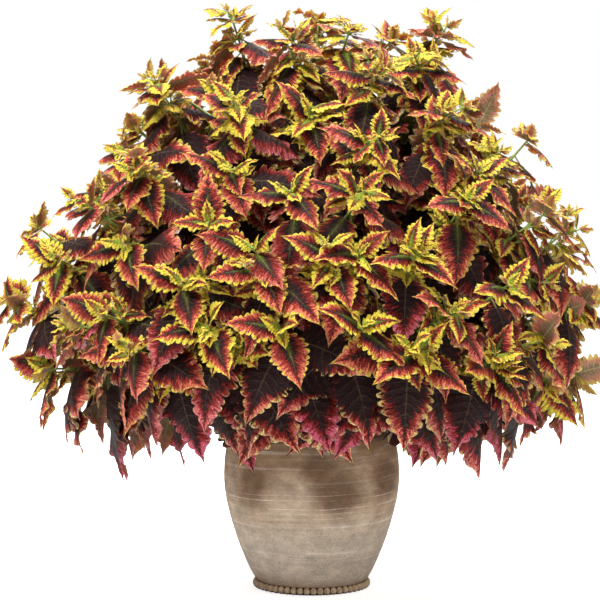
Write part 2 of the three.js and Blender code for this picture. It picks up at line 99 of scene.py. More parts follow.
# shoot tips, three to a stem: turn from the front in degrees, height, and how far out
placedTips = (
    ((-66, 682, 26), (-60, 598, 8), (-23, 572, 0)),
    ((-10, 652, 0), (22, 610, 0), (14, 532, 0)),
    ((76, 662, 38), (42, 568, 0), (43, 500, 0)),
    ((-45, 501, 0), (-61, 462, 0), (-22, 444, 0)),
    ((9, 479, 0), (-5, 478, 0), (9, 412, 0)),
    ((80, 540, 14), (36, 470, 0), (67, 455, 0)),
    ((-45, 344, 0), (-26, 380, 0), (-37, 308, 0)),
    ((-12, 418, 0), (-10, 396, 0), (4, 406, 0)),
    ((20, 412, 6), (27, 350, 0), (20, 308, 0)),
    ((52, 312, 0), (38, 290, 0), (41, 376, 4)),
    ((-20, 334, 0), (-6, 332, 0), (9, 336, 0)),
    ((-84, 436, 24), (-83, 345, 22), (-79, 268, 0)),
    ((78, 432, 0), (74, 352, 10), (85, 258, 4)),
    ((172, 688, 0), (-122, 644, 0), (122, 624, 0)),
)
backTiers = (
    {"count": 3, "height": 285, "from": 111, "to": 249, "across": 105, "rise": 45},
    {"count": 3, "height": 436, "from": 116, "to": 244, "across": 92, "rise": 46},
    {"count": 1, "height": 580, "from": 180, "to": 180, "across": 120, "rise": 46},
)
backDisorder = {"across": 0.16, "rise": 0.3}
shootsOfStem = 3
# where the random draws of each kind start, and a stride for each count that is added
seeds = {
    "backTips": (11,),
    "stem": (500, 37),
    "framedLeaf": (9004, 211, 61, 17, 1),
    "fillTips": (77,),
    "fillShoot": (12000, 31),
    "fillPairs": (20000, 700, 70, 7, 1),
    "budPairs": (40000, 700, 70, 7, 1),
    "olderPairs": (60000, 700, 70, 7, 1),
    "sideShoot": (90000, 3000, 300, 20),
    "sideLeaf": (90007, 3000, 300, 20, 3, 1),
    "framedLooks": (700, 907, 131, 7, 1),
    "extraLooks": (750, 907, 131, 1),
    "sideLooks": (4000, 4001, 13, 1),
}

up = np.array((0.0, 0.0, 1.0))


def unit(v):
    return v / math.sqrt(v.dot(v))


def mix(a, b, t):
    return a + (b - a) * t


def clamp(value, low=0.0, high=1.0):
    return max(low, min(high, value))


def cross(a, b):
    return np.array((a[1] * b[2] - a[2] * b[1], a[2] * b[0] - a[0] * b[2], a[0] * b[1] - a[1] * b[0]))


def squareTo(v, direction):
    return unit(v - direction * v.dot(direction))


def turned(v, axis, angle):
    c, s = math.cos(angle), math.sin(angle)
    return v * c + cross(axis, v) * s + axis * (axis.dot(v) * (1 - c))


def randomFor(kind, *counts):  # draws between 0 and 1, the same ones in every run
    start, *strides = seeds[kind]
    state = start + sum(stride * count for stride, count in zip(strides, counts))

    def draw():
        nonlocal state
        state = (state * 1664525 + 1013904223) % 4294967296
        return state / 4294967296

    return draw


def bezier(points, t):
    while len(points) > 1:
        points = [mix(a, b, t) for a, b in zip(points, points[1:])]
    return points[0]


def moundRadius(z):
    if z < mound["base"]:
        return mound["radius"] - (mound["base"] - z) * mound["taper"]
    share = (z - mound["base"]) / (mound["top"] - mound["base"])
    return mound["radius"] * (1 - share ** mound["shoulder"]) ** mound["crown"]


def onMound(turn, z, out):
    r = moundRadius(z) + out
    return np.array((r * math.sin(math.radians(turn)), -r * math.cos(math.radians(turn)), z))


def backTips():
    random = randomFor("backTips")
    stems = []
    for tier in backTiers:
        reach = math.degrees(tier["across"] / moundRadius(tier["height"]))
        for i in range(tier["count"]):
            turn = mix(tier["from"], tier["to"], i / max(tier["count"] - 1, 1))
            flip = -1 if i % 2 else 1
            tips = []
            for side, rise in ((0, 1), (-1, -0.7), (1, -0.7)):
                aside = turn + reach * (side + backDisorder["across"] * (random() - 0.5))
                z = tier["height"] + tier["rise"] * (flip * rise + backDisorder["rise"] * (random() - 0.5))
                tips.append((aside, z, 0))
            stems.append(tuple(tips))
    return stems


def tipDirection(tip, random):
    g = shootGrowth
    height = clamp((tip[2] - g["lowest"]) / (mound["top"] - g["lowest"]))
    climbed = g["climb"] * height ** g["climbPower"]
    rise = math.radians(g["rise"] + climbed + g["riseSpread"] * (random() - 0.5))
    turn = math.atan2(tip[1], tip[0]) + math.radians(g["turnSpread"]) * (random() - 0.5)
    return np.array((math.cos(turn) * math.cos(rise), math.sin(turn) * math.cos(rise), math.sin(rise)))


def growShoot(tip, k, bend, fork, outwards, random):
    g = shootGrowth
    onward = unit(fork - bend)
    direction = tipDirection(tip, random)
    span = math.dist(tip, fork)
    path = [fork, fork + onward * g["onward"] * span, tip - direction * g["homeward"] * span, tip]
    height = clamp((tip[2] - g["lowest"]) / g["vigourSpan"])
    start = fork - onward * stemGrowth["branchGap"] * k
    return {
        "line": [start, bezier(path, 1 - stemGrowth["lastBend"] / (g["bulge"] * span)), tip],
        "back": up - outwards * g["backTilt"],
        "roll": math.radians(g["roll"] + g["rollSpread"] * (random() - 0.5)),
        "vigour": g["vigour"] - g["vigourLoss"] * height + g["vigourSpread"] * (random() - 0.5),
    }


def growStem(tips, index, forkShare, swing):
    g = stemGrowth
    random = randomFor("stem", index)
    ends = [onMound(*tip) for tip in tips]
    middle = sum(ends) / len(ends)
    reach = math.hypot(middle[0], middle[1]) / mound["radius"]
    outwards = unit(np.array((middle[0], middle[1], 0.0)))
    rootRadius = g["outermost"] - g["inset"] * (middle[2] - g["lowestTier"])
    root = up * g["soilTop"] + outwards * rootRadius
    fork = mix(root, middle, forkShare)
    fork = fork + up * g["forkRise"] * reach + cross(up, outwards) * swing
    lean = root + up * g["lift"] * mix(g["leastLift"], 1, reach)
    bend = bezier([root, lean, fork], 0.5)
    return {
        "index": index,
        "foot": root - up * g["rootDepth"],
        "root": root,
        "bend": bend,
        "shoots": [growShoot(tip, k, bend, fork, outwards, random) for k, tip in enumerate(ends)],
    }


def sectionFrame(shoot, along):
    side = turned(squareTo(shoot["back"], along), along, shoot["roll"])
    return side, cross(along, side)


def bendCorners(plant):  # corners of the square section where a stem bends
    shoot = plant["shoots"][0]
    along = unit(shoot["line"][0] - plant["root"])
    side, other = sectionFrame(shoot, along)
    r = mix(stemGrowth["forkRadius"], stemGrowth["radius"], 0.5)
    return [plant["bend"] + side * a * r + other * b * r for a in (1, -1) for b in (1, -1)]


class Solid:  # the corners of one of the frame's solids, to find what grows where
    def __init__(self, node):
        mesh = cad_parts[node].data
        self.tree = KDTree(len(mesh.vertices))
        for i, vertex in enumerate(mesh.vertices):
            self.tree.insert(vertex.co, i)
        self.tree.balance()

    def has(self, point, within=0.06):
        return self.tree.find(point * mm)[2] < within * mm


def growFramedStem(tips, index, solid):
    ways = [(share, swing) for share in stemGrowth["forkShares"] for swing in stemGrowth["swings"]]
    plants = [growStem(tips, index, *way) for way in ways]
    return max(plants, key=lambda plant: sum(solid.has(p) for p in bendCorners(plant)))


# leaf pairs of a shoot that the frame has, from its tip down; angles in degrees
leafPairs = (
    {"back": 9, "angle": 52, "length": 63, "width": 42, "petiole": 5, "droop": 0.5, "curl": 50},
    {"back": 34, "angle": 70, "length": 87, "width": 60, "petiole": 13, "droop": 0.85, "curl": 60},
    {"back": 68, "angle": 84, "length": 106, "width": 73, "petiole": 21, "droop": 1.05, "curl": 58},
)
leafShape = {
    "fold": 17,
    "skyward": 0.55,
    "levelCurl": 0.72,
    "risingCurl": 0.28,
    "curlRange": (0.85, 1.15),
    "sizeRange": (0.95, 1.05),
    "deepest": 0.8,
}
# what is tried in turn until a leaf has room
framedChoices = {
    "sizes": (1, 0.88, 0.77),
    "tilts": (0, 13, -13, -26),
    "turns": (0, 12, -12, 24, -24, 36, -36),
}
extraChoices = {"sizes": (1, 0.8), "tilts": (0, 14, -14), "turns": (0, 20, -20)}


def leafChoices(random, sizes, tilts, turns):
    lean = 1 if random() < 0.5 else -1
    curl = mix(*leafShape["curlRange"], random())
    growth = mix(*leafShape["sizeRange"], random())
    for size in sizes:
        for tilt in tilts:
            for turn in turns:
                yield {
                    "turn": math.radians(lean * turn),
                    "tilt": math.radians(tilt),
                    "size": size * growth,
                    "curl": curl,
                }


def leafPose(shoot, pair, level, hand, choice):
    line = shoot["line"]
    last = math.dist(line[2], line[1])
    back = pair["back"] * shoot["vigour"]
    start, end, reach = (line[2], line[1], back) if back < last else (line[1], line[0], back - last)
    axis = unit(start - end)
    joint = start - axis * min(reach, leafShape["deepest"] * math.dist(start, end))
    turn = shoot["roll"] + math.radians(level * 90) + (0 if hand > 0 else math.pi) + choice["turn"]
    outwards = turned(squareTo(shoot["back"], axis), axis, turn)
    tilt = math.radians(pair["angle"]) + choice["tilt"]
    heading = unit(outwards * math.sin(tilt) + axis * math.cos(tilt) - up * pair["droop"])
    face = squareTo(axis + up * leafShape["skyward"], heading)
    size = shoot["vigour"] * choice["size"]
    curl = leafShape["levelCurl"] + leafShape["risingCurl"] * heading[2]
    return {
        "joint": joint,
        "axis": axis,
        "base": joint + heading * pair["petiole"] * size,
        "heading": heading,
        "face": face,
        "side": cross(heading, face),
        "petiole": pair["petiole"] * size,
        "length": pair["length"] * size,
        "width": pair["width"] * size,
        "curl": math.radians(pair["curl"]) * curl * choice["curl"],
    }


def bladeTip(pose):
    bend, size = pose["curl"], pose["length"] / pose["curl"]
    along, fall = size * math.sin(bend), size * (1 - math.cos(bend))
    return pose["base"] + pose["heading"] * along - pose["face"] * fall


def framedPose(plant, shoot, k, level, hand, solid):
    random = randomFor("framedLeaf", plant["index"], k, level, hand)
    for choice in leafChoices(random, **framedChoices):
        pose = leafPose(shoot, leafPairs[level], level, hand, choice)
        if solid.has(bladeTip(pose)):
            return pose
    return None  # the frame leaves this one out


plants = []
for index, tips in enumerate((*placedTips, *backTips())):
    node = f"leafy_stem_{index + 1:02d}"
    solid = Solid(node)
    plant = growFramedStem(tips, index, solid)
    plant["node"] = node
    for k, shoot in enumerate(plant["shoots"]):
        shoot["leaves"], shoot["extras"] = [], []
        for level in range(len(leafPairs)):
            for hand in (1, -1):
                pose = framedPose(plant, shoot, k, level, hand, solid)
                if pose:
                    shoot["leaves"].append((level, hand, pose))
    plants.append(plant)
found = sum(len(shoot["leaves"]) for plant in plants for shoot in plant["shoots"])
print("grown as in the frame:", len(plants), "stems with", found, "leaves")

# A template's corners hold (row, across, layer): row runs from 0 at the base to 1 at the tip,
# across from -1 to 1 at the lobed edge, layer is 1 on the face, -1 underneath and 0 on the edge.
mostRows = 16.0
bladeTemplates = {
    "broad": {"lobes": 8, "tipRows": 2, "columns": 2, "cuts": (1, 1), "from": 62},
    "middle": {"lobes": 7, "tipRows": 1, "columns": 2, "cuts": (2,), "from": 30},
    "small": {"lobes": 5, "tipRows": 1, "columns": 1, "cuts": (1,), "from": 0},
}


def finishTemplate(bm, name, values):
    mesh = bpy.data.meshes.new("template." + name)
    bm.to_mesh(mesh)
    bm.free()
    corners = np.zeros(len(mesh.vertices) * 3)
    mesh.vertices.foreach_get("co", corners)
    return {"mesh": mesh, "corners": corners.reshape(-1, 3), **values}


def makeBladeTemplate(name, values):
    rows = values["lobes"] + values["tipRows"]
    bm = bmesh.new()
    bmesh.ops.create_grid(bm, x_segments=rows, y_segments=2 * values["columns"], size=0.5)
    for v in bm.verts:
        v.co = (v.co.x + 0.5, 2 * v.co.y, 0)
    for end in (0.0, 1.0):
        ends = [v for v in bm.verts if abs(v.co.x - end) < 1e-5]
        bmesh.ops.pointmerge(bm, verts=ends, merge_co=(end, 0, 0))
    for cuts in values["cuts"]:
        edge = [e for e in bm.edges if e.is_boundary]
        bmesh.ops.subdivide_edges(bm, edges=edge, cuts=cuts, use_single_edge=True)
    rim = {v for v in bm.verts if v.is_boundary}
    for v in rim:
        if 1e-5 < v.co.x < 1 - 1e-5:
            v.co.y = math.copysign(1, v.co.y)
    for v in bm.verts:
        v.co.z = 0 if v in rim else 1
    copy = bmesh.ops.duplicate(bm, geom=bm.verts[:] + bm.edges[:] + bm.faces[:])["geom"]
    under = [f for f in copy if isinstance(f, bmesh.types.BMFace)]
    bmesh.ops.reverse_faces(bm, faces=under)
    for f in under:
        f.material_index = 1
    for v in copy:
        if isinstance(v, bmesh.types.BMVert):
            v.co.z = -v.co.z
    bmesh.ops.remove_doubles(bm, verts=bm.verts[:], dist=1e-5)
    for f in bm.faces:
        f.smooth = True
    for e in bm.edges:
        e.smooth = len({f.material_index for f in e.link_faces}) == 1
    return finishTemplate(bm, name, {"rows": rows, **values})


templates = {name: makeBladeTemplate(name, values) for name, values in bladeTemplates.items()}

# what makes a finished blade more than the frame's plain one, in shares of its size or in mm
bladeForm = {
    "width": 3.083,  # with the two powers below, makes the widest place 1
    "neckPower": 0.55,
    "tipPower": 1.3,
    "slant": 0.14,
    "shoulder": 0.055,
    "shoulderRows": (0.3, 0.06),
    "notch": 0.33,
    "shallower": 0.3,  # the notches near the tip
    "lobeSkew": 1.05,
    "roundness": 0.5,
    "forward": 0.05,
    "pinch": 0.42,
    "pinchRows": (0.7, 0.93),
    "halfThickness": 0.34,
    "thinEdge": 0.85,
    "ribDepth": 0.9,
    "ruffle": 0.040,
    "waves": 2.6,
    "flutter": 0.021,
    "flutterTurn": 2.3,  # from one row to the next
    "crisp": 0.030,
    "stiffEnds": (4, 3.2),  # how soon the ruffles start after the base and stop before the tip
    "edgeRoll": 0.02,
}


def smoothStep(low, high, x):
    t = np.clip((x - low) / (high - low), 0, 1)
    return t * t * (3 - 2 * t)


def bladeOutline(template, pose):  # where each corner lies along and across the flat blade
    f, rows = bladeForm, template["rows"]
    row, across, _ = template["corners"].T
    a = np.abs(across)
    lobed = smoothStep(1.0, 0.86, row / (template["lobes"] / rows) * 0.9)
    lobe = np.abs(np.sin(np.pi * (row * rows % 1) ** f["lobeSkew"])) ** f["roundness"]
    cut = f["notch"] * lobed * (1 - f["shallower"] * row) * (1 - lobe)
    middle = row - f["slant"] * 4 * row * (1 - row)
    lean = f["forward"] / rows * lobe * lobed * a**4
    neckEnds, neckStarts = f["shoulderRows"]
    back = f["shoulder"] * a**2 * smoothStep(neckEnds, 0.0, row) * smoothStep(0, neckStarts, row)
    u = np.minimum(middle + (row - middle) * a + lean - back, 1)
    width = f["width"] * np.clip(row, 0, 1) ** f["neckPower"] * np.clip(1 - row, 0, 1) ** f["tipPower"]
    width = width * (1 - f["pinch"] * smoothStep(*f["pinchRows"], row))
    return u, 0.5 * pose["width"] * width * a * (1 - cut * a**3), lobe


def bladePoints(template, pose, looks):
    f, length = bladeForm, pose["length"]
    row, across, layer = template["corners"].T
    a, hand = np.abs(across), np.sign(across)
    u, lateral, lobe = bladeOutline(template, pose)
    fold = math.radians(looks["fold"])
    wave = np.sin(2 * np.pi * f["waves"] * row + looks["phase"] + 2.1 * (hand > 0))
    flutter = np.sin(f["flutterTurn"] * row * template["rows"] + 3 * looks["phase"] + 1.3 * (hand > 0))
    soft, softEnd = f["stiffEnds"]
    fade = length * np.clip(soft * row, 0, 1) * np.clip(softEnd * (1 - row), 0, 1)
    z = -lateral * math.sin(fold) + looks["cup"] * lateral**2 / pose["width"]
    z += fade * a**2 * f["ruffle"] * looks["ruffle"] * wave
    z += fade * a**4 * (f["flutter"] * flutter + f["crisp"] * (lobe - 0.6))
    z -= fade * a**6 * f["edgeRoll"] * looks["roll"]
    thickness = f["halfThickness"] * min(1, length / 60)
    z += layer * thickness * (1 - f["thinEdge"] * a**2)
    onMidrib = a < 0.01
    z -= onMidrib * (layer < -0.5) * f["ribDepth"] * min(1, length / 80) * (1 - row)
    z -= onMidrib * (layer > 0.5) * 0.5 * thickness
    lateral = lateral * math.cos(fold) * hand
    twist = looks["twist"] * u
    lateral, z = lateral * np.cos(twist) - z * np.sin(twist), lateral * np.sin(twist) + z * np.cos(twist)
    lateral = lateral + looks["sway"] * length * u**2
    bend = pose["curl"] * u
    along = length * np.sin(bend) / pose["curl"]
    fall = length * (1 - np.cos(bend)) / pose["curl"]
    spread = np.outer(along + z * np.sin(bend), pose["heading"])
    spread += np.outer(z * np.cos(bend) - fall, pose["face"]) + np.outer(lateral, pose["side"])
    return pose["base"] + spread


def bladeUv(template):
    row, across, _ = template["corners"].T
    return np.column_stack((row, 0.5 + 0.5 * across))


tubeTemplates = {
    "stem": {"rings": 30, "sides": 8},
    "branch": {"rings": 18, "sides": 8},
    "petiole": {"rings": 4, "sides": 5},
    "twig": {"rings": 3, "sides": 4},
}


def makeTubeTemplate(name, values):
    rings, sides = values["rings"], values["sides"]
    bm = bmesh.new()
    bmesh.ops.create_grid(bm, x_segments=rings - 1, y_segments=sides, size=0.5)
    for v in bm.verts:
        angle = 2 * math.pi * (v.co.y + 0.5)
        v.co = (math.cos(angle), math.sin(angle), (v.co.x + 0.5) * (rings - 1))
    bmesh.ops.remove_doubles(bm, verts=bm.verts[:], dist=1e-5)
    bmesh.ops.holes_fill(bm, edges=[e for e in bm.edges if e.is_boundary], sides=sides)
    bmesh.ops.recalc_face_normals(bm, faces=bm.faces[:])
    for f in bm.faces:
        f.smooth = len(f.verts) == 4 or sides == 4
        f.material_index = 2
    return finishTemplate(bm, name, values)


templates.update({name: makeTubeTemplate(name, values) for name, values in tubeTemplates.items()})


def evenly(points, count):  # count points at equal distances along a line of points
    points = np.array(points)
    steps = np.linalg.norm(np.diff(points, axis=0), axis=1)
    at = np.concatenate(([0], np.cumsum(steps)))
    return np.column_stack([np.interp(np.linspace(0, at[-1], count), at, points[:, i]) for i in range(3)])


def roundedLine(points, reach=0.4, steps=6):
    line = [points[0]]
    for before, corner, after in zip(points, points[1:], points[2:]):
        ends = [mix(corner, before, reach), corner, mix(corner, after, reach)]
        line.extend(bezier(ends, i / steps) for i in range(steps + 1))
    return line + [points[-1]]


def tubePoints(template, line, radii, back, roll, squareness):
    rings = template["rings"]
    centres = evenly(line, rings)
    tangents = np.gradient(centres, axis=0)
    tangents /= np.linalg.norm(tangents, axis=1)[:, None]
    side = back - tangents * (tangents @ back)[:, None]
    side /= np.linalg.norm(side, axis=1)[:, None]
    other = np.cross(tangents, side)
    cosine, sine, ring = template["corners"].T
    ring = np.rint(ring).astype(int)
    angle = np.arctan2(sine, cosine)
    square = (np.cos(angle) ** 4 + np.sin(angle) ** 4) ** (-0.25 * squareness)
    r = (np.interp(np.linspace(0, 1, rings), np.linspace(0, 1, len(radii)), radii))[ring] * square
    c, s = np.cos(angle + roll)[:, None], np.sin(angle + roll)[:, None]
    return centres[ring] + (side[ring] * c + other[ring] * s) * r[:, None]


# leaf pairs that the frame leaves out: buds at the tip, and older leaves deep in the plant
budPairs = (
    {"back": 6.5, "angle": 44, "length": 43, "width": 28, "petiole": 3, "droop": 0.25, "curl": 50},
    {"back": 4.2, "angle": 35, "length": 31, "width": 20, "petiole": 2, "droop": 0.1, "curl": 46},
    {"back": 2.4, "angle": 26, "length": 20, "width": 13, "petiole": 1, "droop": 0, "curl": 40},
    {"back": 1.0, "angle": 14, "length": 12, "width": 8, "petiole": 0.5, "droop": 0, "curl": 30},
)
olderPairs = (
    {"back": 103, "angle": 86, "length": 108, "width": 75, "petiole": 30, "droop": 1.0, "curl": 56},
    {"back": 137, "angle": 86, "length": 104, "width": 71, "petiole": 34, "droop": 0.9, "curl": 54},
)
# a side shoot stands in the angle above a leaf, with pairs of its own, from its tip down
sideShoot = {
    "length": (6, 30),
    "share": 0.78,
    "outwards": (0.5, 1.1),
    "upwards": (0, 0.5),
    "vigour": (0.85, 1.15),
    "leastAge": 0.3,  # of the added leaves that have one
    "pairs": (
        {"back": 1.0, "angle": 18, "length": 13, "width": 8, "petiole": 0.6, "droop": 0, "curl": 34},
        {"back": 3.0, "angle": 36, "length": 24, "width": 15, "petiole": 2, "droop": 0.15, "curl": 44},
        {"back": 8, "angle": 54, "length": 37, "width": 25, "petiole": 4, "droop": 0.4, "curl": 52},
        {"back": 21, "angle": 66, "length": 56, "width": 38, "petiole": 7, "droop": 0.6, "curl": 54},
    ),
}
# shoots beyond the three of each stem, with their tips where the mound has most room
fillShoots = {"tries": 1500, "apart": 74, "lowest": 240, "frontRise": 110, "highest": 668,
              "under": (6, 34), "reach": 74, "starts": (0.0, 0.3, 0.6)}

# kept clear of the pot, past the box and between blades; how low leaves hang, at the front higher
room = {"pot": 3, "box": 8, "blade": 1.6, "hem": 145, "frontHem": 20, "mostBlades": 12000}
# a plain blade's outline from its neck round its tip: shares of its length and of its width
marksDown = ((0.0, 0.04), (0.06, 0.62), (0.17, 0.92), (0.3, 1.0), (0.46, 0.86), (0.64, 0.52), (0.82, 0.16))
flatOutline = np.array([(0.42, 0.0), *marksDown, (1.0, 0.0), *[(u, -w) for u, w in marksDown[::-1]]])
flatFan = [(0, i, i % (len(flatOutline) - 1) + 1) for i in range(1, len(flatOutline))]


def flatBlade(pose, heights):  # a plain blade as loose triangles, for finding what is in the way
    bend = pose["curl"] * flatOutline[:, 0]
    half = 0.5 * pose["width"] * flatOutline[:, 1]
    fold = math.radians(leafShape["fold"])
    drop = np.abs(half) * math.sin(fold)
    size = pose["length"] / pose["curl"]
    along = size * np.sin(bend) - drop * np.sin(bend)
    down = size * (1 - np.cos(bend)) + drop * np.cos(bend)
    spread = np.outer(along, pose["heading"]) - np.outer(down, pose["face"])
    blade = pose["base"] + spread + np.outer(half * math.cos(fold), pose["side"])
    points = np.concatenate([blade + pose["face"] * height for height in heights])
    count = len(flatOutline)
    triangles = [(a + n * count, b + n * count, c + n * count)
                 for n in range(len(heights)) for a, b, c in flatFan]
    return points, triangles


class Thicket:  # the blades that stand already
    def __init__(self):
        self.balls = np.zeros((room["mostBlades"], 4))
        self.trees, self.owners = [], []

    def ball(self, points):
        low, high = points.min(axis=0), points.max(axis=0)
        return (*((low + high) / 2), math.dist(low, high) / 2)

    def add(self, points, triangles, owner):
        self.balls[len(self.trees)] = self.ball(points)
        self.trees.append(BVHTree.FromPolygons(points.tolist(), triangles))
        self.owners.append(owner)

    def blocks(self, points, triangles, owner):
        ball = self.ball(points)
        balls = self.balls[:len(self.trees)]
        gaps = np.sqrt(((balls[:, :3] - ball[:3]) ** 2).sum(axis=1)) - balls[:, 3]
        near = [i for i in np.nonzero(gaps < ball[3])[0] if self.owners[i] != owner]
        tree = BVHTree.FromPolygons(points.tolist(), triangles) if near else None
        return any(self.trees[i].overlap(tree) for i in near)


potWall = ((69, 13), (77, 28), (92, 66), (103.5, 110), (105.5, 146), (100, 180), (86, 195))
potRim = {"radius": 88, "height": 205.5, "band": 9}
lowCorner, highCorner = (np.array(corner) / mm for corner in cadBox)


def staysClear(points):
    r = np.hypot(points[:, 0], points[:, 1])
    wall = np.interp(points[:, 2], [z for _, z in potWall], [w for w, _ in potWall])
    wall = np.where(points[:, 2] > potRim["height"] - potRim["band"], potRim["radius"], wall)
    outside = (points[:, 2] > potRim["height"] + room["pot"]) | (r > wall + room["pot"])
    low, high = lowCorner - room["box"], highCorner + room["box"]
    front = clamp(-points[:, 1].mean() / max(r.mean(), 1))
    hem = points[:, 2].min() > room["hem"] + room["frontHem"] * front**3
    return bool(hem and outside.all() and (points > low).all() and (points < high).all())


thicket = Thicket()
layers = (-room["blade"], 0, room["blade"])  # a blade that stands, and the air kept on both its sides
for plant in plants:
    for k, shoot in enumerate(plant["shoots"]):
        for level, _, pose in shoot["leaves"]:
            thicket.add(*flatBlade(pose, layers), (plant["index"], k, level))

# the ages of the pairs, from 0 for a bud to 1, each from the tip down
ages = {
    "framed": (0.32, 0.55, 0.8),
    "bud": (0.22, 0.14, 0.06, 0.0),
    "older": (0.92, 1.0),
    "side": (0.0, 0.08, 0.2, 0.36),
}


def growExtra(shoot, pair, level, hand, random, owner, age):  # a leaf where there is room, or nothing
    for choice in leafChoices(random, **extraChoices):
        pose = leafPose(shoot, pair, level, hand, choice)
        points, triangles = flatBlade(pose, (0,))
        if staysClear(points) and not thicket.blocks(points, triangles, owner):
            thicket.add(*flatBlade(pose, layers), owner)
            shoot["extras"].append((pose, age))
            return


def fillTips():  # points on the mound that stand well apart from the tips and from each other
    random = randomFor("fillTips")
    tips = [shoot["line"][-1] for plant in plants for shoot in plant["shoots"]]
    found = []
    for _ in range(fillShoots["tries"]):
        turn = 360 * random()
        lowest = fillShoots["lowest"] + fillShoots["frontRise"] * clamp(math.cos(math.radians(turn))) ** 3
        z = mix(lowest, fillShoots["highest"], random())
        tip = onMound(turn, z, -mix(*fillShoots["under"], random()))
        if min(math.dist(tip, other) for other in tips) > fillShoots["apart"]:
            tips.append(tip)
            found.append(tip)
    return found


def growFillShoot(tip, random):  # a branch from the nearest stem that is far enough back
    nearest = None
    for plant in plants:
        for shoot in plant["shoots"][:shootsOfStem]:
            for share in fillShoots["starts"]:
                start = mix(shoot["line"][0], shoot["line"][1], share)
                far = math.dist(start, tip)
                if far > fillShoots["reach"] and (nearest is None or far < nearest[0]):
                    nearest = far, plant, shoot, start
    _, plant, parent, start = nearest
    onward = unit(parent["line"][1] - parent["line"][0])
    outwards = unit(tip * (1, 1, 0))
    shoot = growShoot(tip, 0, start - onward, start, outwards, random)
    plant["shoots"].append({"leaves": [], "extras": [], **shoot})


for i, tip in enumerate(fillTips()):
    growFillShoot(tip, randomFor("fillShoot", i))


def growPairs(kind, pairs, firstLevel, pairAges):  # the frame's stems have its own pairs already
    for plant in plants:
        for k, shoot in enumerate(plant["shoots"]):
            framed = k < shootsOfStem and pairs is leafPairs
            for step, pair in enumerate(() if framed else pairs):
                for hand in (1, -1):
                    random = randomFor(kind, plant["index"], k, step, hand)
                    owner = (plant["index"], k, firstLevel + step)
                    growExtra(shoot, pair, firstLevel + step, hand, random, owner, pairAges[step])


growPairs("fillPairs", leafPairs, 0, ages["framed"])
growPairs("budPairs", budPairs, 5, ages["bud"])
growPairs("olderPairs", olderPairs, len(leafPairs), ages["older"])
print("branches added:", sum(len(plant["shoots"]) - shootsOfStem for plant in plants))


def growSideShoot(pose, place):  # place is the index of the stem, the shoot and the leaf
    random = randomFor("sideShoot", *place)
    if random() > sideShoot["share"]:
        return None
    outwards = squareTo(pose["heading"], pose["axis"])
    half = 0.5 * mix(*sideShoot["length"], random())
    aside, upwards = mix(*sideShoot["outwards"], random()), mix(*sideShoot["upwards"], random())
    way = unit(pose["axis"] + outwards * aside + up * upwards)
    bent = pose["joint"] + way * half
    twig = {
        "line": [pose["joint"], bent, bent + unit(way + up * 0.25) * half],
        "back": up - outwards * shootGrowth["backTilt"],
        "roll": 6.3 * random(),
        "vigour": mix(*sideShoot["vigour"], random()),
        "extras": [],
    }
    pairs = [pair for pair in sideShoot["pairs"] if pair["back"] * twig["vigour"] < 2 * half]
    for step in reversed(range(len(pairs))):
        for hand in (1, -1):
            growExtra(twig, pairs[step], step, hand, randomFor("sideLeaf", *place, step, hand),
                      ("side", *place), ages["side"][step])
    return twig if twig["extras"] else None


for plant in plants:
    twigs = []
    for k, shoot in enumerate(plant["shoots"]):
        grown = [pose for _, _, pose in shoot["leaves"]]
        grown += [pose for pose, age in shoot["extras"] if age > sideShoot["leastAge"]]
        twigs += [growSideShoot(pose, (plant["index"], k, n)) for n, pose in enumerate(grown)]
    plant["twigs"] = [twig for twig in twigs if twig]
print("side shoots:", sum(len(plant["twigs"]) for plant in plants))


# what differs from leaf to leaf, at least and at most
leafVariety = {
    "fold": (-2, 20),
    "cup": (-0.6, 0.5),
    "phase": (0, 6.28),
    "ruffle": (0.4, 1.7),
    "roll": (0.2, 2.4),
    "twist": (-0.5, 0.5),
    "sway": (-0.07, 0.07),
    "age": (-0.13, 0.13),
    "tone": (0, 0.85),
    "dark": (0, 0.95),
}
# low leaves are older, pinker and darker than those above a height, by these shares; the extra darkness is
# partly painted shade, low in the mound
lowLeaves = {"below": 420, "fade": 200, "age": 0.12, "tone": 0.2, "dark": 0.5}


def leafLooks(random, age, height):
    looks = {name: mix(*ends, random()) for name, ends in leafVariety.items()}
    # partly painted shade: the lower a leaf stands, the darker it is made
    low = clamp((lowLeaves["below"] - height) / lowLeaves["fade"]) * smoothStep(0.2, 0.5, age)
    looks["cup"] *= 1 - 0.4 * age
    looks["age"] += age
    for name in ("age", "tone", "dark"):
        looks[name] = clamp(looks[name] + lowLeaves[name] * low)
    return looks


petioleForm = {
    "least": 2.5,
    "stoutFrom": 50,
    "fullFrom": 90,
    "sizes": (0.45, 1.15),
    "intoBlade": 1.5,
    "bow": 0.45,
    "rise": 0.05,
    "radii": (1.45, 1.1, 0.9),
}


def placed(name, mesh):
    piece = bpy.data.objects.new(name, mesh)
    bpy.context.scene.collection.objects.link(piece)
    return piece


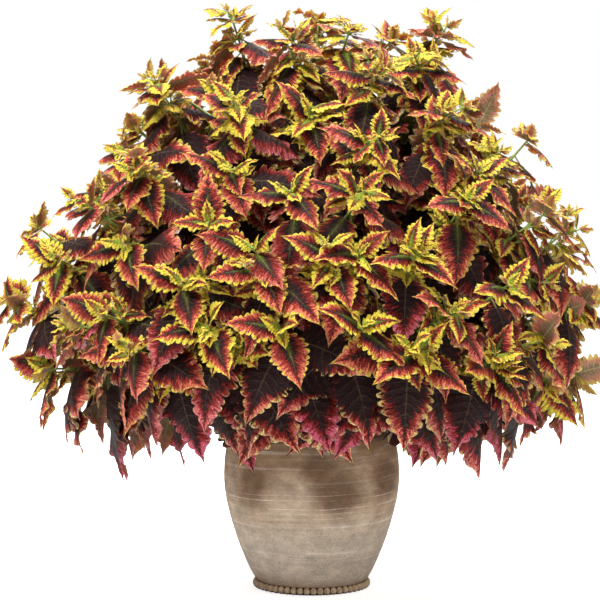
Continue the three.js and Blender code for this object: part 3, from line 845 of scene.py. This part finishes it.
# gathers the leaves and tubes of one leafy stem into one mesh; the attribute "habit" holds a leaf's
# age, tone, darkness and rows of lobes, from 0 to 1 each
class Dressing:
    def __init__(self):
        self.bm = bmesh.new()
        self.points, self.uvs, self.habits = [], [], []

    def add(self, template, points, uv, habit):
        self.bm.from_mesh(template["mesh"])
        self.points.append(points)
        self.uvs.append(uv)
        self.habits.append(np.tile(habit, (len(points), 1)) if np.ndim(habit) == 1 else habit)

    def leaf(self, pose, looks, attachment):
        name = next(name for name, t in bladeTemplates.items() if pose["length"] >= t["from"])
        template = templates[name]
        habit = np.array((looks["age"], looks["tone"], looks["dark"], template["rows"] / mostRows))
        self.add(template, bladePoints(template, pose, looks), bladeUv(template), habit)
        p, stalk = petioleForm, pose["petiole"]
        if stalk < p["least"]:
            return
        tube = templates["petiole" if pose["length"] > p["stoutFrom"] else "twig"]
        size = clamp(pose["length"] / p["fullFrom"], *p["sizes"])
        end = pose["base"] + pose["heading"] * p["intoBlade"]
        bow = pose["base"] - pose["heading"] * stalk * p["bow"] + up * p["rise"] * stalk
        line = [bezier([attachment, bow, end], i / 6) for i in range(7)]
        points = tubePoints(tube, line, [radius * size for radius in p["radii"]], pose["face"], 0, 0)
        habit = np.array((looks["age"], looks["tone"], 0, 0))
        self.add(tube, points, np.full((len(points), 2), 0.5), habit)

    def tube(self, name, line, radii, shoot, ages):
        template = templates[name]
        points = tubePoints(template, line, radii, shoot["back"], shoot["roll"], 1)
        rings = template["corners"][:, 2] / (template["rings"] - 1)
        habit = np.zeros((len(points), 4))
        habit[:, 0] = np.interp(rings, (0, 1), ages)
        self.add(template, points, np.full((len(points), 2), 0.5), habit)

    def finish(self, name, materials):
        mesh = bpy.data.meshes.new(name)
        self.bm.to_mesh(mesh)
        self.bm.free()
        points = np.concatenate(self.points) * mm
        mesh.vertices.foreach_set("co", points.ravel())
        corners = np.zeros(len(mesh.loops), dtype=int)
        mesh.loops.foreach_get("vertex_index", corners)
        uv = mesh.uv_layers.new(name="blade")
        uv.data.foreach_set("uv", np.concatenate(self.uvs)[corners].ravel())
        habit = mesh.attributes.new("habit", "FLOAT_COLOR", "POINT")
        habit.data.foreach_set("color", np.concatenate(self.habits).ravel())
        for material in materials:
            mesh.materials.append(material)
        mesh.update()
        return placed(name, mesh)


def nearestOn(line, point):
    line = np.array(line)
    return line[np.linalg.norm(line - point, axis=1).argmin()]


def dressShoot(dressing, plant, k, shoot):
    g = stemGrowth
    radii = [g["forkRadius"], mix(g["forkRadius"], g["tipRadius"], 0.7), g["tipRadius"], 0.9]
    if k == 0:
        line = roundedLine([plant["foot"], plant["root"], plant["bend"], *shoot["line"]])
        dressing.tube("stem", line, [g["radius"], g["radius"], 3.1, *radii], shoot, (1, 0.1))
    else:
        line = roundedLine(shoot["line"])
        dressing.tube("branch", line, radii, shoot, (0.7, 0.1))
    place = (plant["index"], k)
    leaves = [(pose, ages["framed"][level], randomFor("framedLooks", *place, level, hand))
              for level, hand, pose in shoot["leaves"]]
    leaves += [(pose, age, randomFor("extraLooks", *place, n))
               for n, (pose, age) in enumerate(shoot["extras"])]
    dense = evenly(line, 240)
    for pose, age, random in leaves:
        dressing.leaf(pose, leafLooks(random, age, pose["base"][2]), nearestOn(dense, pose["joint"]))


def dressStem(plant, materials):
    dressing = Dressing()
    for k, shoot in enumerate(plant["shoots"]):
        dressShoot(dressing, plant, k, shoot)
    for i, twig in enumerate(plant["twigs"]):
        dressing.tube("petiole", roundedLine(twig["line"]), [1.3, 1.1, 0.7], twig, (0.3, 0))
        for n, (pose, age) in enumerate(twig["extras"]):
            random = randomFor("sideLooks", plant["index"], i, n)
            dressing.leaf(pose, leafLooks(random, age, pose["base"][2]), pose["joint"])
    piece = dressing.finish("leafyStem%02d" % (plant["index"] + 1), materials)
    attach(piece, "root")
    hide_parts(plant["node"])
    return piece


class Recipe:  # adds nodes to a node tree; every call gives back an output socket
    def __init__(self, tree):
        self.tree = tree
        tree.nodes.clear()

    def node(self, kind, inputs=(), output=0, **settings):
        node = self.tree.nodes.new(kind)
        for name, value in settings.items():
            setattr(node, name, value)
        for key, value in dict(inputs).items():
            if isinstance(value, bpy.types.NodeSocket):
                self.tree.links.new(value, node.inputs[key])
            else:
                node.inputs[key].default_value = value
        return node.outputs[output] if node.outputs else node

    def math(self, operation, *values):
        return self.node("ShaderNodeMath", enumerate(values), operation=operation)

    def times(self, value, factor, more=None):  # more is added to the product
        if more is None:
            return self.math("MULTIPLY", value, factor)
        return self.math("MULTIPLY_ADD", value, factor, more)

    def plus(self, value, by):
        return self.math("ADD", value, by)

    def less(self, value, by):
        return self.math("SUBTRACT", value, by)

    def step(self, low, high, value):  # rises smoothly from 0 at low to 1 at high
        inputs = {0: value, 1: low, 2: high, 3: 0.0, 4: 1.0}
        return self.node("ShaderNodeMapRange", inputs, interpolation_type="SMOOTHSTEP")

    def between(self, low, high, share):
        inputs = {0: share, 1: 0.0, 2: 1.0, 3: low, 4: high}
        return self.node("ShaderNodeMapRange", inputs, clamp=False)

    def blend(self, share, first, second, how="MIX"):
        inputs = {0: share, 6: first, 7: second}
        return self.node("ShaderNodeMix", inputs, output=2, data_type="RGBA", blend_type=how)

    def shaded(self, color, shade):
        return self.blend(1.0, color, self.combine(shade, shade, shade), "MULTIPLY")

    def noise(self, vector, scale, detail=2.0, roughness=0.5):
        inputs = {"Vector": vector, "Scale": scale, "Detail": detail, "Roughness": roughness}
        return self.node("ShaderNodeTexNoise", inputs)

    def cloud(self, fineness, detail=2.0, roughness=0.5, **mapping):
        return self.noise(self.place(**mapping), fineness, detail, roughness)

    def combine(self, x, y, z):
        return self.node("ShaderNodeCombineXYZ", {0: x, 1: y, 2: z})

    def separate(self, vector):
        node = self.tree.nodes.new("ShaderNodeSeparateXYZ")
        self.tree.links.new(vector, node.inputs[0])
        return node.outputs

    def place(self, **mapping):  # object coordinates, stretched or turned
        coordinates = self.node("ShaderNodeTexCoord", output="Object")
        inputs = {k.capitalize(): v for k, v in mapping.items()}
        return self.node("ShaderNodeMapping", {0: coordinates, **inputs})

    def group(self, tree):
        node = self.tree.nodes.new("ShaderNodeGroup")
        node.node_tree = tree
        return node.outputs

    def ramp(self, value, stops):
        node = self.tree.nodes.new("ShaderNodeValToRGB")
        self.tree.links.new(value, node.inputs[0])
        while len(node.color_ramp.elements) < len(stops):
            node.color_ramp.elements.new(0.5)
        for element, (position, color) in zip(node.color_ramp.elements, stops):
            element.position, element.color = position, (*color, 1)
        return node.outputs[0]

    def bump(self, height, strength, distance):
        inputs = {"Height": height, "Strength": strength, "Distance": distance}
        return self.node("ShaderNodeBump", inputs)

    def surface(self, inputs):
        shader = self.node("ShaderNodeBsdfPrincipled", inputs)
        self.node("ShaderNodeOutputMaterial", {0: shader})


def makeMaterial(name):
    material = bpy.data.materials.new(name)
    material.use_nodes = True
    return material, Recipe(material.node_tree)


def rgb(*color):
    return (*color, 1.0)


# where a blade is dark, red or yellow: shares of the way from its midrib to its edge
leafZones = {
    "darkReach": (0.11, 0.93),  # on the youngest and the oldest leaves
    "darkSpread": 0.22,  # from leaf to leaf
    "darkFeather": 0.40,
    "darkSpeckle": 0.25,
    "edgeReach": (0.22, 0.89),
    "edgeRecedes": 0.48,  # the age at which the yellow has drawn back to the lobes' caps
    "edgeSpread": 0.26,
    "edgeFeather": 0.20,
    "edgeNotch": 0.16,  # how much further out it starts between two lobes
    "edgeSpeckle": 0.14,
    "blushWidth": 0.42,
    "greenWidth": (0.6, 2.6),  # how soon the green ends beside the midrib, on young and older leaves
    "grainScale": 620.0,
    "mottleScale": 150.0,
    "netScale": 330.0,
    "streakScale": (4.6, 2.2),  # along and across
}


def makeLeafZones():
    group = bpy.data.node_groups.new("leafZones", "ShaderNodeTree")
    r, g = Recipe(group), leafZones
    u, v, _ = r.separate(r.node("ShaderNodeUVMap", uv_map="blade"))
    attribute = r.node("ShaderNodeAttribute", attribute_name="habit").node
    age, tone, dark = r.separate(attribute.outputs["Color"])
    rows = r.times(attribute.outputs["Alpha"], mostRows)
    across = r.math("ABSOLUTE", r.times(v, 2.0, -1.0))
    hand = r.math("SIGN", r.less(v, 0.5))
    place = r.place()
    grain = r.noise(place, g["grainScale"], 3.0, 0.6)
    mottle = r.noise(place, g["mottleScale"], 3.0)
    row = r.times(u, rows)
    phase = r.plus(row, r.times(mottle, 0.7, -0.35))
    wave = r.math("COSINE", r.times(phase, 6.2832))
    veins = r.times(wave, -0.5, 0.5)
    side = r.times(tone, 37.0, r.times(hand, 5.0))
    lengthwise, crosswise = g["streakScale"]
    streakAt = r.combine(r.times(phase, lengthwise), r.times(across, crosswise), side)
    streaks = r.step(0.3, 0.7, r.noise(streakAt, 1.0, 3.0, 0.7))
    feather = r.less(streaks, 0.5)
    speckle = r.less(grain, 0.5)

    old = r.times(r.step(0.5, 0.8, age), r.step(0.72, 0.9, dark))
    reach = r.times(old, 0.3, r.between(*g["darkReach"], age))
    reach = r.times(r.less(dark, 0.45), g["darkSpread"], reach)
    taper = r.between(1.0, 0.1, r.step(0.3, 0.95, u))
    reach = r.times(reach, taper)
    reach = r.times(feather, g["darkFeather"], reach)
    reach = r.times(veins, 0.10, reach)
    reach = r.times(speckle, g["darkSpeckle"], reach)
    darkness = r.step(r.plus(reach, 0.1), r.less(reach, 0.1), across)

    rim = r.between(*g["edgeReach"], r.step(0.0, g["edgeRecedes"], age))
    rim = r.times(feather, g["edgeFeather"], rim)
    rim = r.times(r.less(1.0, veins), g["edgeNotch"], rim)
    rim = r.times(r.less(tone, 0.4), g["edgeSpread"], rim)
    rim = r.times(speckle, g["edgeSpeckle"], rim)
    edge = r.step(r.less(rim, 0.13), r.plus(rim, 0.10), across)
    tip = r.times(r.step(0.9, 1.0, u), r.between(0.9, 0.2, age))
    edge = r.math("MAXIMUM", edge, tip)
    blushFrom = r.times(feather, 0.22, r.plus(reach, 0.16))
    blush = r.step(blushFrom, r.plus(blushFrom, g["blushWidth"]), across)

    along = r.times(across, r.between(*g["greenWidth"], r.step(0.0, 0.45, age)), u)
    green = r.times(r.step(0.95, 0.2, along), r.step(0.6, 0.05, age))
    green = r.times(green, r.between(0.3, 1.4, streaks))
    stalk = r.times(r.step(0.06, 0.02, across), r.step(0.8, 0.3, r.plus(u, age)))
    lines = r.times(r.step(0.93, 1.0, veins), r.step(0.9, 0.2, across))
    midribLine = r.times(r.step(0.05, 0.02, across), r.step(1.0, 0.5, u))
    lines = r.math("MAXIMUM", r.times(lines, 0.7), midribLine)
    net = {"Vector": place, "Scale": g["netScale"]}
    # the vein net; it sinks the bump and, in the face colour, darkens its creases as painted shade
    cells = r.step(0.0, 0.22, r.node("ShaderNodeTexVoronoi", net, feature="DISTANCE_TO_EDGE"))
    rise = r.times(grain, 0.7, r.times(cells, 0.5))
    rise = r.times(veins, -0.45, rise)
    outputs = {"dark": darkness, "edge": edge, "blush": blush, "green": r.math("MAXIMUM", green, stalk),
               "vein": lines, "streak": streaks, "cell": cells, "pucker": rise, "age": age, "tone": tone,
               "mottle": grain}
    for name in outputs:
        group.interface.new_socket(name, in_out="OUTPUT", socket_type="NodeSocketFloat")
    r.node("NodeGroupOutput", outputs)
    return group


leafColors = {
    "maroon": rgb(0.018, 0.005, 0.006),
    "maroonVein": rgb(0.095, 0.065, 0.035),
    "crimson": rgb(0.200, 0.013, 0.010),
    "coralYoung": rgb(0.60, 0.155, 0.045),
    "coralOld": rgb(0.60, 0.165, 0.130),
    "pink": rgb(0.52, 0.095, 0.155),
    "yellow": rgb(0.64, 0.475, 0.045),
    "cream": rgb(0.76, 0.57, 0.23),
    "lime": rgb(0.27, 0.39, 0.035),
    "under": rgb(0.52, 0.25, 0.16),
    "underPink": rgb(0.54, 0.17, 0.15),
    "underGreen": rgb(0.17, 0.16, 0.07),
    "underEdge": rgb(0.70, 0.50, 0.13),
    "underVein": rgb(0.46, 0.38, 0.18),
    "youngStem": rgb(0.23, 0.34, 0.045),
    "oldStem": rgb(0.13, 0.15, 0.05),
    "flushedStem": rgb(0.15, 0.03, 0.04),
}
# how much light passes through a blade
throughLight = {"Subsurface Weight": 0.3, "Subsurface Radius": (1.0, 0.4, 0.2), "Subsurface Scale": 0.002}


def makeLeafFace(zones):
    material, r = makeMaterial("leafFace")
    z, c = r.group(zones), leafColors
    coral = r.blend(z["age"], c["coralYoung"], c["coralOld"])
    pinkness = r.times(r.step(0.45, 0.95, z["tone"]), r.step(0.15, 0.7, z["age"]))
    coral = r.blend(pinkness, coral, c["pink"])
    red = r.blend(z["blush"], c["crimson"], coral)
    edgeColor = r.blend(r.step(0.45, 0.95, z["age"]), c["yellow"], c["cream"])
    color = r.blend(z["edge"], red, edgeColor)
    maroon = r.blend(r.times(z["vein"], 0.6), c["maroon"], c["maroonVein"])
    color = r.blend(z["dark"], color, maroon)
    color = r.blend(r.math("MINIMUM", z["green"], 1.0), color, c["lime"])
    # partly painted shade: the grain and the vein net darken and lighten the colour as the blade's fine
    # relief would under light; the streaks are the leaf's own
    shade = r.times(r.between(0.4, 1.6, z["mottle"]), r.between(1.12, 0.8, z["streak"]))
    shade = r.times(shade, r.between(0.78, 1.2, z["cell"]))
    color = r.shaded(color, shade)
    r.surface({
        "Base Color": color,
        "Roughness": r.between(0.46, 0.66, z["mottle"]),
        "Specular IOR Level": 0.14,
        "Normal": r.bump(z["pucker"], 0.75, 0.0018),
        **throughLight,
    })
    return material


def makeLeafUnderside(zones):
    material, r = makeMaterial("leafUnderside")
    z, c = r.group(zones), leafColors
    color = r.blend(r.step(0.2, 0.9, z["tone"]), c["under"], c["underPink"])
    color = r.blend(r.times(z["dark"], 0.75), color, c["underGreen"])
    color = r.blend(r.times(z["edge"], 0.8), color, c["underEdge"])
    # partly painted shade: the grain darkens and lightens the colour as fine relief would under light; the
    # streaks are the leaf's own
    shade = r.times(r.between(0.55, 1.35, z["mottle"]), r.between(1.1, 0.75, z["streak"]))
    color = r.shaded(color, shade)
    color = r.blend(r.times(z["vein"], 0.8), color, c["underVein"])
    r.surface({
        "Base Color": color,
        "Roughness": 0.68,
        "Normal": r.bump(z["pucker"], -0.5, 0.0012),
        **throughLight,
    })
    return material


def makeStemSkin():
    material, r = makeMaterial("stemSkin")
    habit = r.node("ShaderNodeAttribute", attribute_name="habit")
    age = r.separate(habit.node.outputs["Color"])[0]
    place = r.place(scale=(1, 1, 0.35))
    flush = r.noise(place, 160.0, 3.0)
    flushed = r.times(r.step(0.5, 0.72, flush), r.between(0.25, 0.8, age))
    color = r.blend(age, leafColors["youngStem"], leafColors["oldStem"])
    color = r.blend(flushed, color, leafColors["flushedStem"])
    r.surface({
        "Base Color": color,
        "Roughness": 0.5,
        "Normal": r.bump(r.noise(place, 900.0), 0.25, 0.0006),
    })
    return material


pot = {
    "inner": 9,
    "floor": 13,
    "turns": 128,
    "ridges": 34,
    "ridgeWidth": 1.6,
    "ridgeHeight": 0.16,
    "ridgeSeed": 4,
    "footRadius": 65.4,
    "footHeight": 11.2,
    "drainRadius": 5,
    "drainCircle": 30,
    "drainCount": 3,
}
footBeads = {"count": 53, "circle": 67.4, "radius": 3.75, "height": 5.0, "squash": 1.22}


def catmullRom(points, steps):  # a smooth curve through the points
    points = np.array(points, dtype=float)
    padded = np.vstack((points[0], points, points[-1]))
    curve = []
    for i in range(len(points) - 1):
        p0, p1, p2, p3 = padded[i:i + 4]
        for t in np.arange(steps) / steps:
            a, b = (p2 - p0) / 2, (p3 - p1) / 2
            c = 2 * t**3 - 3 * t**2 + 1
            curve.append(c * p1 + (1 - c) * p2 + (t**3 - 2 * t**2 + t) * a + (t**3 - t**2) * b)
    return curve + [points[-1]]


def spinProfile(bm, profile, turns):
    chain = [bm.verts.new((r * mm, 0, z * mm)) for r, z in profile]
    edges = [bm.edges.new(pair) for pair in zip(chain, chain[1:])]
    bmesh.ops.spin(bm, geom=chain + edges, cent=(0, 0, 0), axis=(0, 0, 1), dvec=(0, 0, 0),
                   angle=2 * math.pi, steps=turns, use_merge=True)
    bmesh.ops.remove_doubles(bm, verts=bm.verts[:], dist=1e-6)
    bmesh.ops.recalc_face_normals(bm, faces=bm.faces[:])


def pieceFrom(bm, name, *materials, smooth=True):
    for f in bm.faces:
        f.smooth = smooth
    mesh = bpy.data.meshes.new(name)
    bm.to_mesh(mesh)
    bm.free()
    for material in materials:
        mesh.materials.append(material)
    return placed(name, mesh)


def thrownWall():  # the outer wall with the faint ridges that fingers leave in turning clay
    random = np.random.default_rng(pot["ridgeSeed"])
    marks = random.uniform(20, 190, pot["ridges"])
    depths = random.uniform(-1, 1, pot["ridges"])
    wall = []
    for r, z in catmullRom(potWall, 22):
        ridge = sum(d * math.exp(-(((z - m) / pot["ridgeWidth"]) ** 2)) for m, d in zip(marks, depths))
        wall.append((r + pot["ridgeHeight"] * ridge, z))
    return wall


def aroundCircle(count, radius, height):
    for i in range(count):
        turn = 2 * math.pi * i / count
        yield Vector((radius * math.cos(turn), radius * math.sin(turn), height)) * mm


def makePotBody(material):
    wall = catmullRom(potWall, 6)
    inside = [(r - pot["inner"], z) for r, z in wall if z > pot["floor"] + pot["inner"]]
    rim, band, top = potRim["radius"], potRim["band"], potRim["height"]
    inner = inside[-1][0]
    profile = [(0, 0), (pot["footRadius"] - 1.5, 0), (pot["footRadius"], 1.2)]
    profile += [(pot["footRadius"], pot["footHeight"] - 1), (pot["footRadius"] + 0.8, pot["footHeight"])]
    profile += thrownWall()
    profile += [(rim - 1.6, top - band + 0.3), (rim - 0.4, top - band + 1.0), (rim, top - band + 2.4)]
    profile += [(rim, top - 3), (rim - 0.7, top - 1.2), (rim - 2.4, top)]
    profile += [(inner + 2.4, top), (inner + 0.6, top - 1), (inner, top - 3)]
    profile += inside[::-1] + [(inside[0][0] - pot["inner"], pot["floor"]), (0, pot["floor"])]
    bm = bmesh.new()
    spinProfile(bm, profile, pot["turns"])
    piece = pieceFrom(bm, "potBody", material)
    drills = bmesh.new()
    radius = pot["drainRadius"] * mm
    for place in aroundCircle(pot["drainCount"], pot["drainCircle"], 0):
        made = bmesh.ops.create_cone(drills, cap_ends=True, segments=24, radius1=radius, radius2=radius,
                                     depth=0.05)
        bmesh.ops.translate(drills, verts=made["verts"], vec=place)
    drill = pieceFrom(drills, "drill")
    cut = piece.modifiers.new("drain", "BOOLEAN")
    cut.operation, cut.solver, cut.object = "DIFFERENCE", "EXACT", drill
    bpy.context.view_layer.objects.active = piece
    with bpy.context.temp_override(object=piece, active_object=piece, selected_objects=[piece]):
        bpy.ops.object.modifier_apply(modifier=cut.name)
    bpy.data.objects.remove(drill)
    return piece


def makeFootBeads(material):
    bm = bmesh.new()
    for place in aroundCircle(footBeads["count"], footBeads["circle"], footBeads["height"]):
        made = bmesh.ops.create_uvsphere(bm, u_segments=14, v_segments=9, radius=footBeads["radius"] * mm)
        bmesh.ops.scale(bm, verts=made["verts"], vec=(1, 1, footBeads["squash"]))
        bmesh.ops.translate(bm, verts=made["verts"], vec=place)
    return pieceFrom(bm, "footBeads", material)


clayColors = {
    "bloom": rgb(0.72, 0.59, 0.45),
    "rubbed": rgb(0.74, 0.58, 0.43),
    "damp": rgb(0.145, 0.078, 0.042),
    "moss": rgb(0.36, 0.28, 0.19),
    "paleRing": rgb(0.90, 0.81, 0.70),
    "ringShadow": rgb(0.18, 0.115, 0.070),
    "pit": rgb(0.055, 0.035, 0.022),
    # painted shade on the pot's foot, behind the beads
    "foot": rgb(0.110, 0.065, 0.038),
    "bead": rgb(0.95, 0.75, 0.51),
    "wornBead": rgb(0.66, 0.46, 0.28),
    # painted shade on the beads' tops under the wall and on their feet at the floor
    "beadTopShade": rgb(0.20, 0.12, 0.07),
    "beadFootShade": rgb(0.13, 0.08, 0.05),
}
# the heights, in metres, between which painted shade comes on: on the pot's foot behind the beads, on the
# beads' tops under the wall and on the beads' feet at the floor
clayShadeLevels = {"foot": (0.0105, 0.0085), "beadTopShade": (0.0085, 0.0115), "beadFootShade": (0.004, 0.0005)}
# the clay's colour from the foot to the rim, partly painted light and shade: paler just above the foot,
# where the wall turns down from the light, and darker towards the rim, as painted shade under the leaves
clayTonesAndShade = (
    (0.0, (0.50, 0.340, 0.220)),
    (0.05, (0.66, 0.500, 0.360)),
    (0.11, (0.82, 0.680, 0.545)),
    (0.35, (0.68, 0.555, 0.430)),
    (0.52, (0.53, 0.375, 0.250)),
    (0.68, (0.35, 0.215, 0.120)),
    (0.90, (0.25, 0.145, 0.076)),
    (1.0, (0.42, 0.250, 0.170)),
)
rubbedSpot = ((-0.026, -0.101, 0.115), 0.05)
# where damp has darkened the clay, each with its reach, in metres
dampSpots = (
    ((0.030, -0.101, 0.128), 0.044),
    ((0.010, -0.104, 0.158), 0.036),
    ((-0.070, -0.078, 0.134), 0.034),
    ((0.084, -0.058, 0.140), 0.036),
    ((0.070, 0.075, 0.150), 0.055),
    ((-0.040, 0.095, 0.120), 0.050),
)


def spotted(r, middle, reach):  # 1 at the middle of a soft blot, 0 beyond its reach
    ragged = r.cloud(26.0, 4.0, 0.6, scale=(1, 1, 1.6))
    away = r.node("ShaderNodeVectorMath", {0: r.place(), 1: middle}, 1, operation="DISTANCE")
    away = r.times(r.less(ragged, 0.5), reach, away)
    return r.step(reach, 0.3 * reach, away)


def makeClay():
    material, r = makeMaterial("weatheredClay")
    c = clayColors
    across, _, level = r.separate(r.place())
    wander = r.cloud(11.0, 2.0, scale=(1, 1, 0.6))
    height = r.times(r.less(wander, 0.5), 0.2, r.math("DIVIDE", level, potRim["height"] * mm))
    bloom = r.cloud(15.0, 4.0, 0.62, scale=(1, 1, 1.7))
    bloomed = r.times(r.step(0.46, 0.66, bloom), r.between(0.6, 0.25, r.step(0.5, 0.75, height)))
    # the height ramp carries painted light above the foot and painted shade towards the rim
    color = r.blend(bloomed, r.ramp(height, clayTonesAndShade), c["bloom"])
    color = r.blend(r.times(spotted(r, *rubbedSpot), 0.6), color, c["rubbed"])
    stain = r.cloud(10.0, 4.0, 0.6, location=(0.3, 0.1, 0.7), scale=(1, 1, 1.3))
    stained = r.times(r.step(0.5, 0.64, stain), r.between(0.0, 0.45, r.step(0.45, 0.7, height)))
    for middle, reach in dampSpots:
        stained = r.math("MAXIMUM", stained, r.times(spotted(r, middle, reach), 0.85))
    color = r.blend(stained, color, c["damp"])
    moss = r.cloud(8.0, 3.0, 0.6, location=(0.7, 0.4, 0.2))
    color = r.blend(r.times(r.step(0.54, 0.74, moss), 0.15), color, c["moss"])
    tilted = r.times(across, -0.025, level)
    band = r.combine(0.0, 0.0, r.times(wander, 0.006, tilted))
    rings = r.noise(band, 150.0, 3.0, 0.75)
    broken = r.cloud(13.0, 3.0, 0.6, location=(0.1, 0.5, 0.3), scale=(1, 1, 9))
    pale = r.times(r.step(0.52, 0.62, rings), r.step(0.4, 0.6, broken))
    paled = r.times(pale, r.between(0.75, 0.35, r.step(0.5, 0.8, height)))
    color = r.blend(paled, color, c["paleRing"])
    # painted shade: the clay darkens in the grooves between the throwing ridges
    shadow = r.times(r.step(0.48, 0.39, rings), r.step(0.6, 0.4, broken))
    color = r.blend(r.times(shadow, 0.32), color, c["ringShadow"])
    pits = r.cloud(620.0, 1.0)
    pitted = r.times(r.step(0.66, 0.74, pits), r.step(0.35, 0.6, bloom))
    color = r.blend(r.times(pitted, 0.75), color, c["pit"])
    grain = r.cloud(520.0, 4.0, 0.7, scale=(1, 1, 1.6))
    worn = r.cloud(48.0, 5.0, 0.7, location=(0.2, 0.9, 0.1), scale=(1, 1, 1.5))
    shade = r.times(r.between(0.5, 1.4, grain), r.between(0.80, 1.14, r.step(0.3, 0.7, worn)))
    color = r.shaded(color, shade)
    # painted shade: the foot behind the beads is darkened
    color = r.blend(r.step(*clayShadeLevels["foot"], level), color, c["foot"])
    relief = r.times(rings, 0.9, r.times(pitted, -0.6))
    relief = r.times(grain, 0.35, relief)
    r.surface({
        "Base Color": color,
        "Roughness": r.between(0.72, 0.95, bloom),
        "Specular IOR Level": 0.2,
        "Normal": r.bump(relief, 0.6, 0.0011),
    })
    return material


def makeBeadClay():
    material, r = makeMaterial("beadClay")
    noise = r.cloud(320.0, 3.0)
    level = r.separate(r.place())[2]
    color = r.blend(r.step(0.3, 0.7, noise), clayColors["bead"], clayColors["wornBead"])
    # painted shade: the beads darken at the top, under the wall's bulge, and at the foot, where they touch
    # the floor
    for name in ("beadTopShade", "beadFootShade"):
        color = r.blend(r.step(*clayShadeLevels[name], level), color, clayColors[name])
    r.surface({
        "Base Color": color,
        "Roughness": 0.82,
        "Normal": r.bump(noise, 0.4, 0.0006),
    })
    return material


soilBed = {"top": 190, "crown": 3, "plateau": 67, "gap": 0.35, "dents": 2.2, "crumbs": 420,
           "crumbSize": (1.2, 4.2), "crumbSink": 2.4, "seed": 8}


def makeSoil(material):
    wall = [(r - pot["inner"] - soilBed["gap"], z) for r, z in catmullRom(potWall, 6)]
    inside = [(r, z) for r, z in wall if pot["floor"] + pot["inner"] < z < soilBed["top"]]
    brim = float(np.interp(soilBed["top"], [z for _, z in wall], [r for r, _ in wall]))
    bottom = pot["floor"] + soilBed["gap"]
    profile = [(0, bottom), (inside[0][0] - pot["inner"], bottom), *inside, (brim, soilBed["top"])]
    top = soilBed["top"] + soilBed["crown"]
    for share in np.linspace(0, 1, 14):
        r = mix(brim, 0, share)
        profile.append((r, min(top, mix(soilBed["top"], top, (brim - r) / (brim - soilBed["plateau"])))))
    bm = bmesh.new()
    spinProfile(bm, profile, 48)
    random = np.random.default_rng(soilBed["seed"])
    for v in bm.verts:
        if v.co.z > (soilBed["top"] - 1) * mm and v.co.xy.length < (brim - 1) * mm:
            v.co.z -= random.uniform(0, soilBed["dents"]) * mm
    for _ in range(soilBed["crumbs"]):
        size = random.uniform(*soilBed["crumbSize"])
        crumb = bmesh.ops.create_icosphere(bm, subdivisions=1, radius=size * mm)["verts"]
        turn, r = random.uniform(0, 2 * math.pi), (brim - 5) * math.sqrt(random.uniform(0, 1))
        for v in crumb:
            v.co *= random.uniform(0.7, 1.15)
            v.co.z *= 0.6
        level = top - soilBed["crumbSink"] - 0.3 * size
        place = Vector((r * math.cos(turn), r * math.sin(turn), level)) * mm
        bmesh.ops.translate(bm, verts=crumb, vec=place)
    return pieceFrom(bm, "pottingSoil", material, smooth=False)


def makeSoilMix():
    material, r = makeMaterial("pottingMix")
    lumps = r.cloud(240.0, 5.0, 0.7)
    color = r.ramp(lumps, (
        (0.3, (0.010, 0.007, 0.005)),
        (0.55, (0.035, 0.022, 0.014)),
        (0.7, (0.085, 0.055, 0.034)),
    ))
    r.surface({"Base Color": color, "Roughness": 0.95, "Normal": r.bump(lumps, 0.9, 0.002)})
    return material


studio = {
    "cameraAt": (-0.014, -2.6, 0.482),
    "aim": (-0.014, 0, 0.346),
    "lens": 130,
    "floorRadius": 40,
    "lightsAim": (0, 0, 0.35),
    "lights": {  # place, size and power
        "keyLight": ((-1.2, -1.9, 2.9), 0.8, 112),
        "fillLight": ((2.4, -2.1, 1.1), 1.8, 10),
        "topLight": ((0.2, -0.2, 3.0), 2.6, 165),
        "backLight": ((0.6, 2.4, 2.2), 1.6, 40),
    },
}


def aimed(thing, place, target):
    thing.location = place
    thing.rotation_euler = (Vector(target) - Vector(place)).to_track_quat("-Z", "Y").to_euler()
    bpy.context.scene.collection.objects.link(thing)
    return thing


def makeFloor():
    bm = bmesh.new()
    bmesh.ops.create_circle(bm, cap_ends=True, segments=96, radius=studio["floorRadius"])
    material, r = makeMaterial("studioFloor")
    r.surface({
        "Base Color": rgb(0.85, 0.85, 0.85),
        "Roughness": 0.9,
        "Emission Color": rgb(1, 1, 1),
        "Emission Strength": r.between(0.0, 0.8, r.node("ShaderNodeLightPath", output="Is Camera Ray")),
    })
    pieceFrom(bm, "studioFloor", material)


def makeLights():
    for name, (place, size, power) in studio["lights"].items():
        light = bpy.data.lights.new(name, "AREA")
        light.size, light.energy = size, power
        lamp = aimed(bpy.data.objects.new(name, light), place, studio["lightsAim"])
        lamp.visible_camera = False
    world = bpy.data.worlds.new("studio")
    world.use_nodes = True
    r = Recipe(world.node_tree)
    seen = r.node("ShaderNodeLightPath", output="Is Camera Ray")
    light = r.node("ShaderNodeBackground", {"Color": rgb(1, 1, 1), "Strength": r.between(0.3, 1.0, seen)})
    r.node("ShaderNodeOutputWorld", {0: light})
    bpy.context.scene.world = world
    bpy.context.scene.view_settings.view_transform = "Standard"


def makeCamera():
    camera = bpy.data.cameras.new("camera")
    camera.lens, camera.sensor_width = studio["lens"], 36
    viewpoint = bpy.data.objects.new("camera", camera)
    bpy.context.scene.camera = aimed(viewpoint, studio["cameraAt"], studio["aim"])


makeFloor()
makeLights()
makeCamera()
for piece in (makePotBody(makeClay()), makeFootBeads(makeBeadClay())):
    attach(piece, "root")
    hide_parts("pot")
soilPiece = makeSoil(makeSoilMix())
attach(soilPiece, "root")
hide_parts("soil")
print("pot and soil made")

zones = makeLeafZones()
leafMaterials = [makeLeafFace(zones), makeLeafUnderside(zones), makeStemSkin()]
triangles = 0
for plant in plants:
    piece = dressStem(plant, leafMaterials)
    piece.data.calc_loop_triangles()
    triangles += len(piece.data.loop_triangles)
print("leafy stems dressed:", triangles, "triangles")
for template in templates.values():
    bpy.data.meshes.remove(template["mesh"])
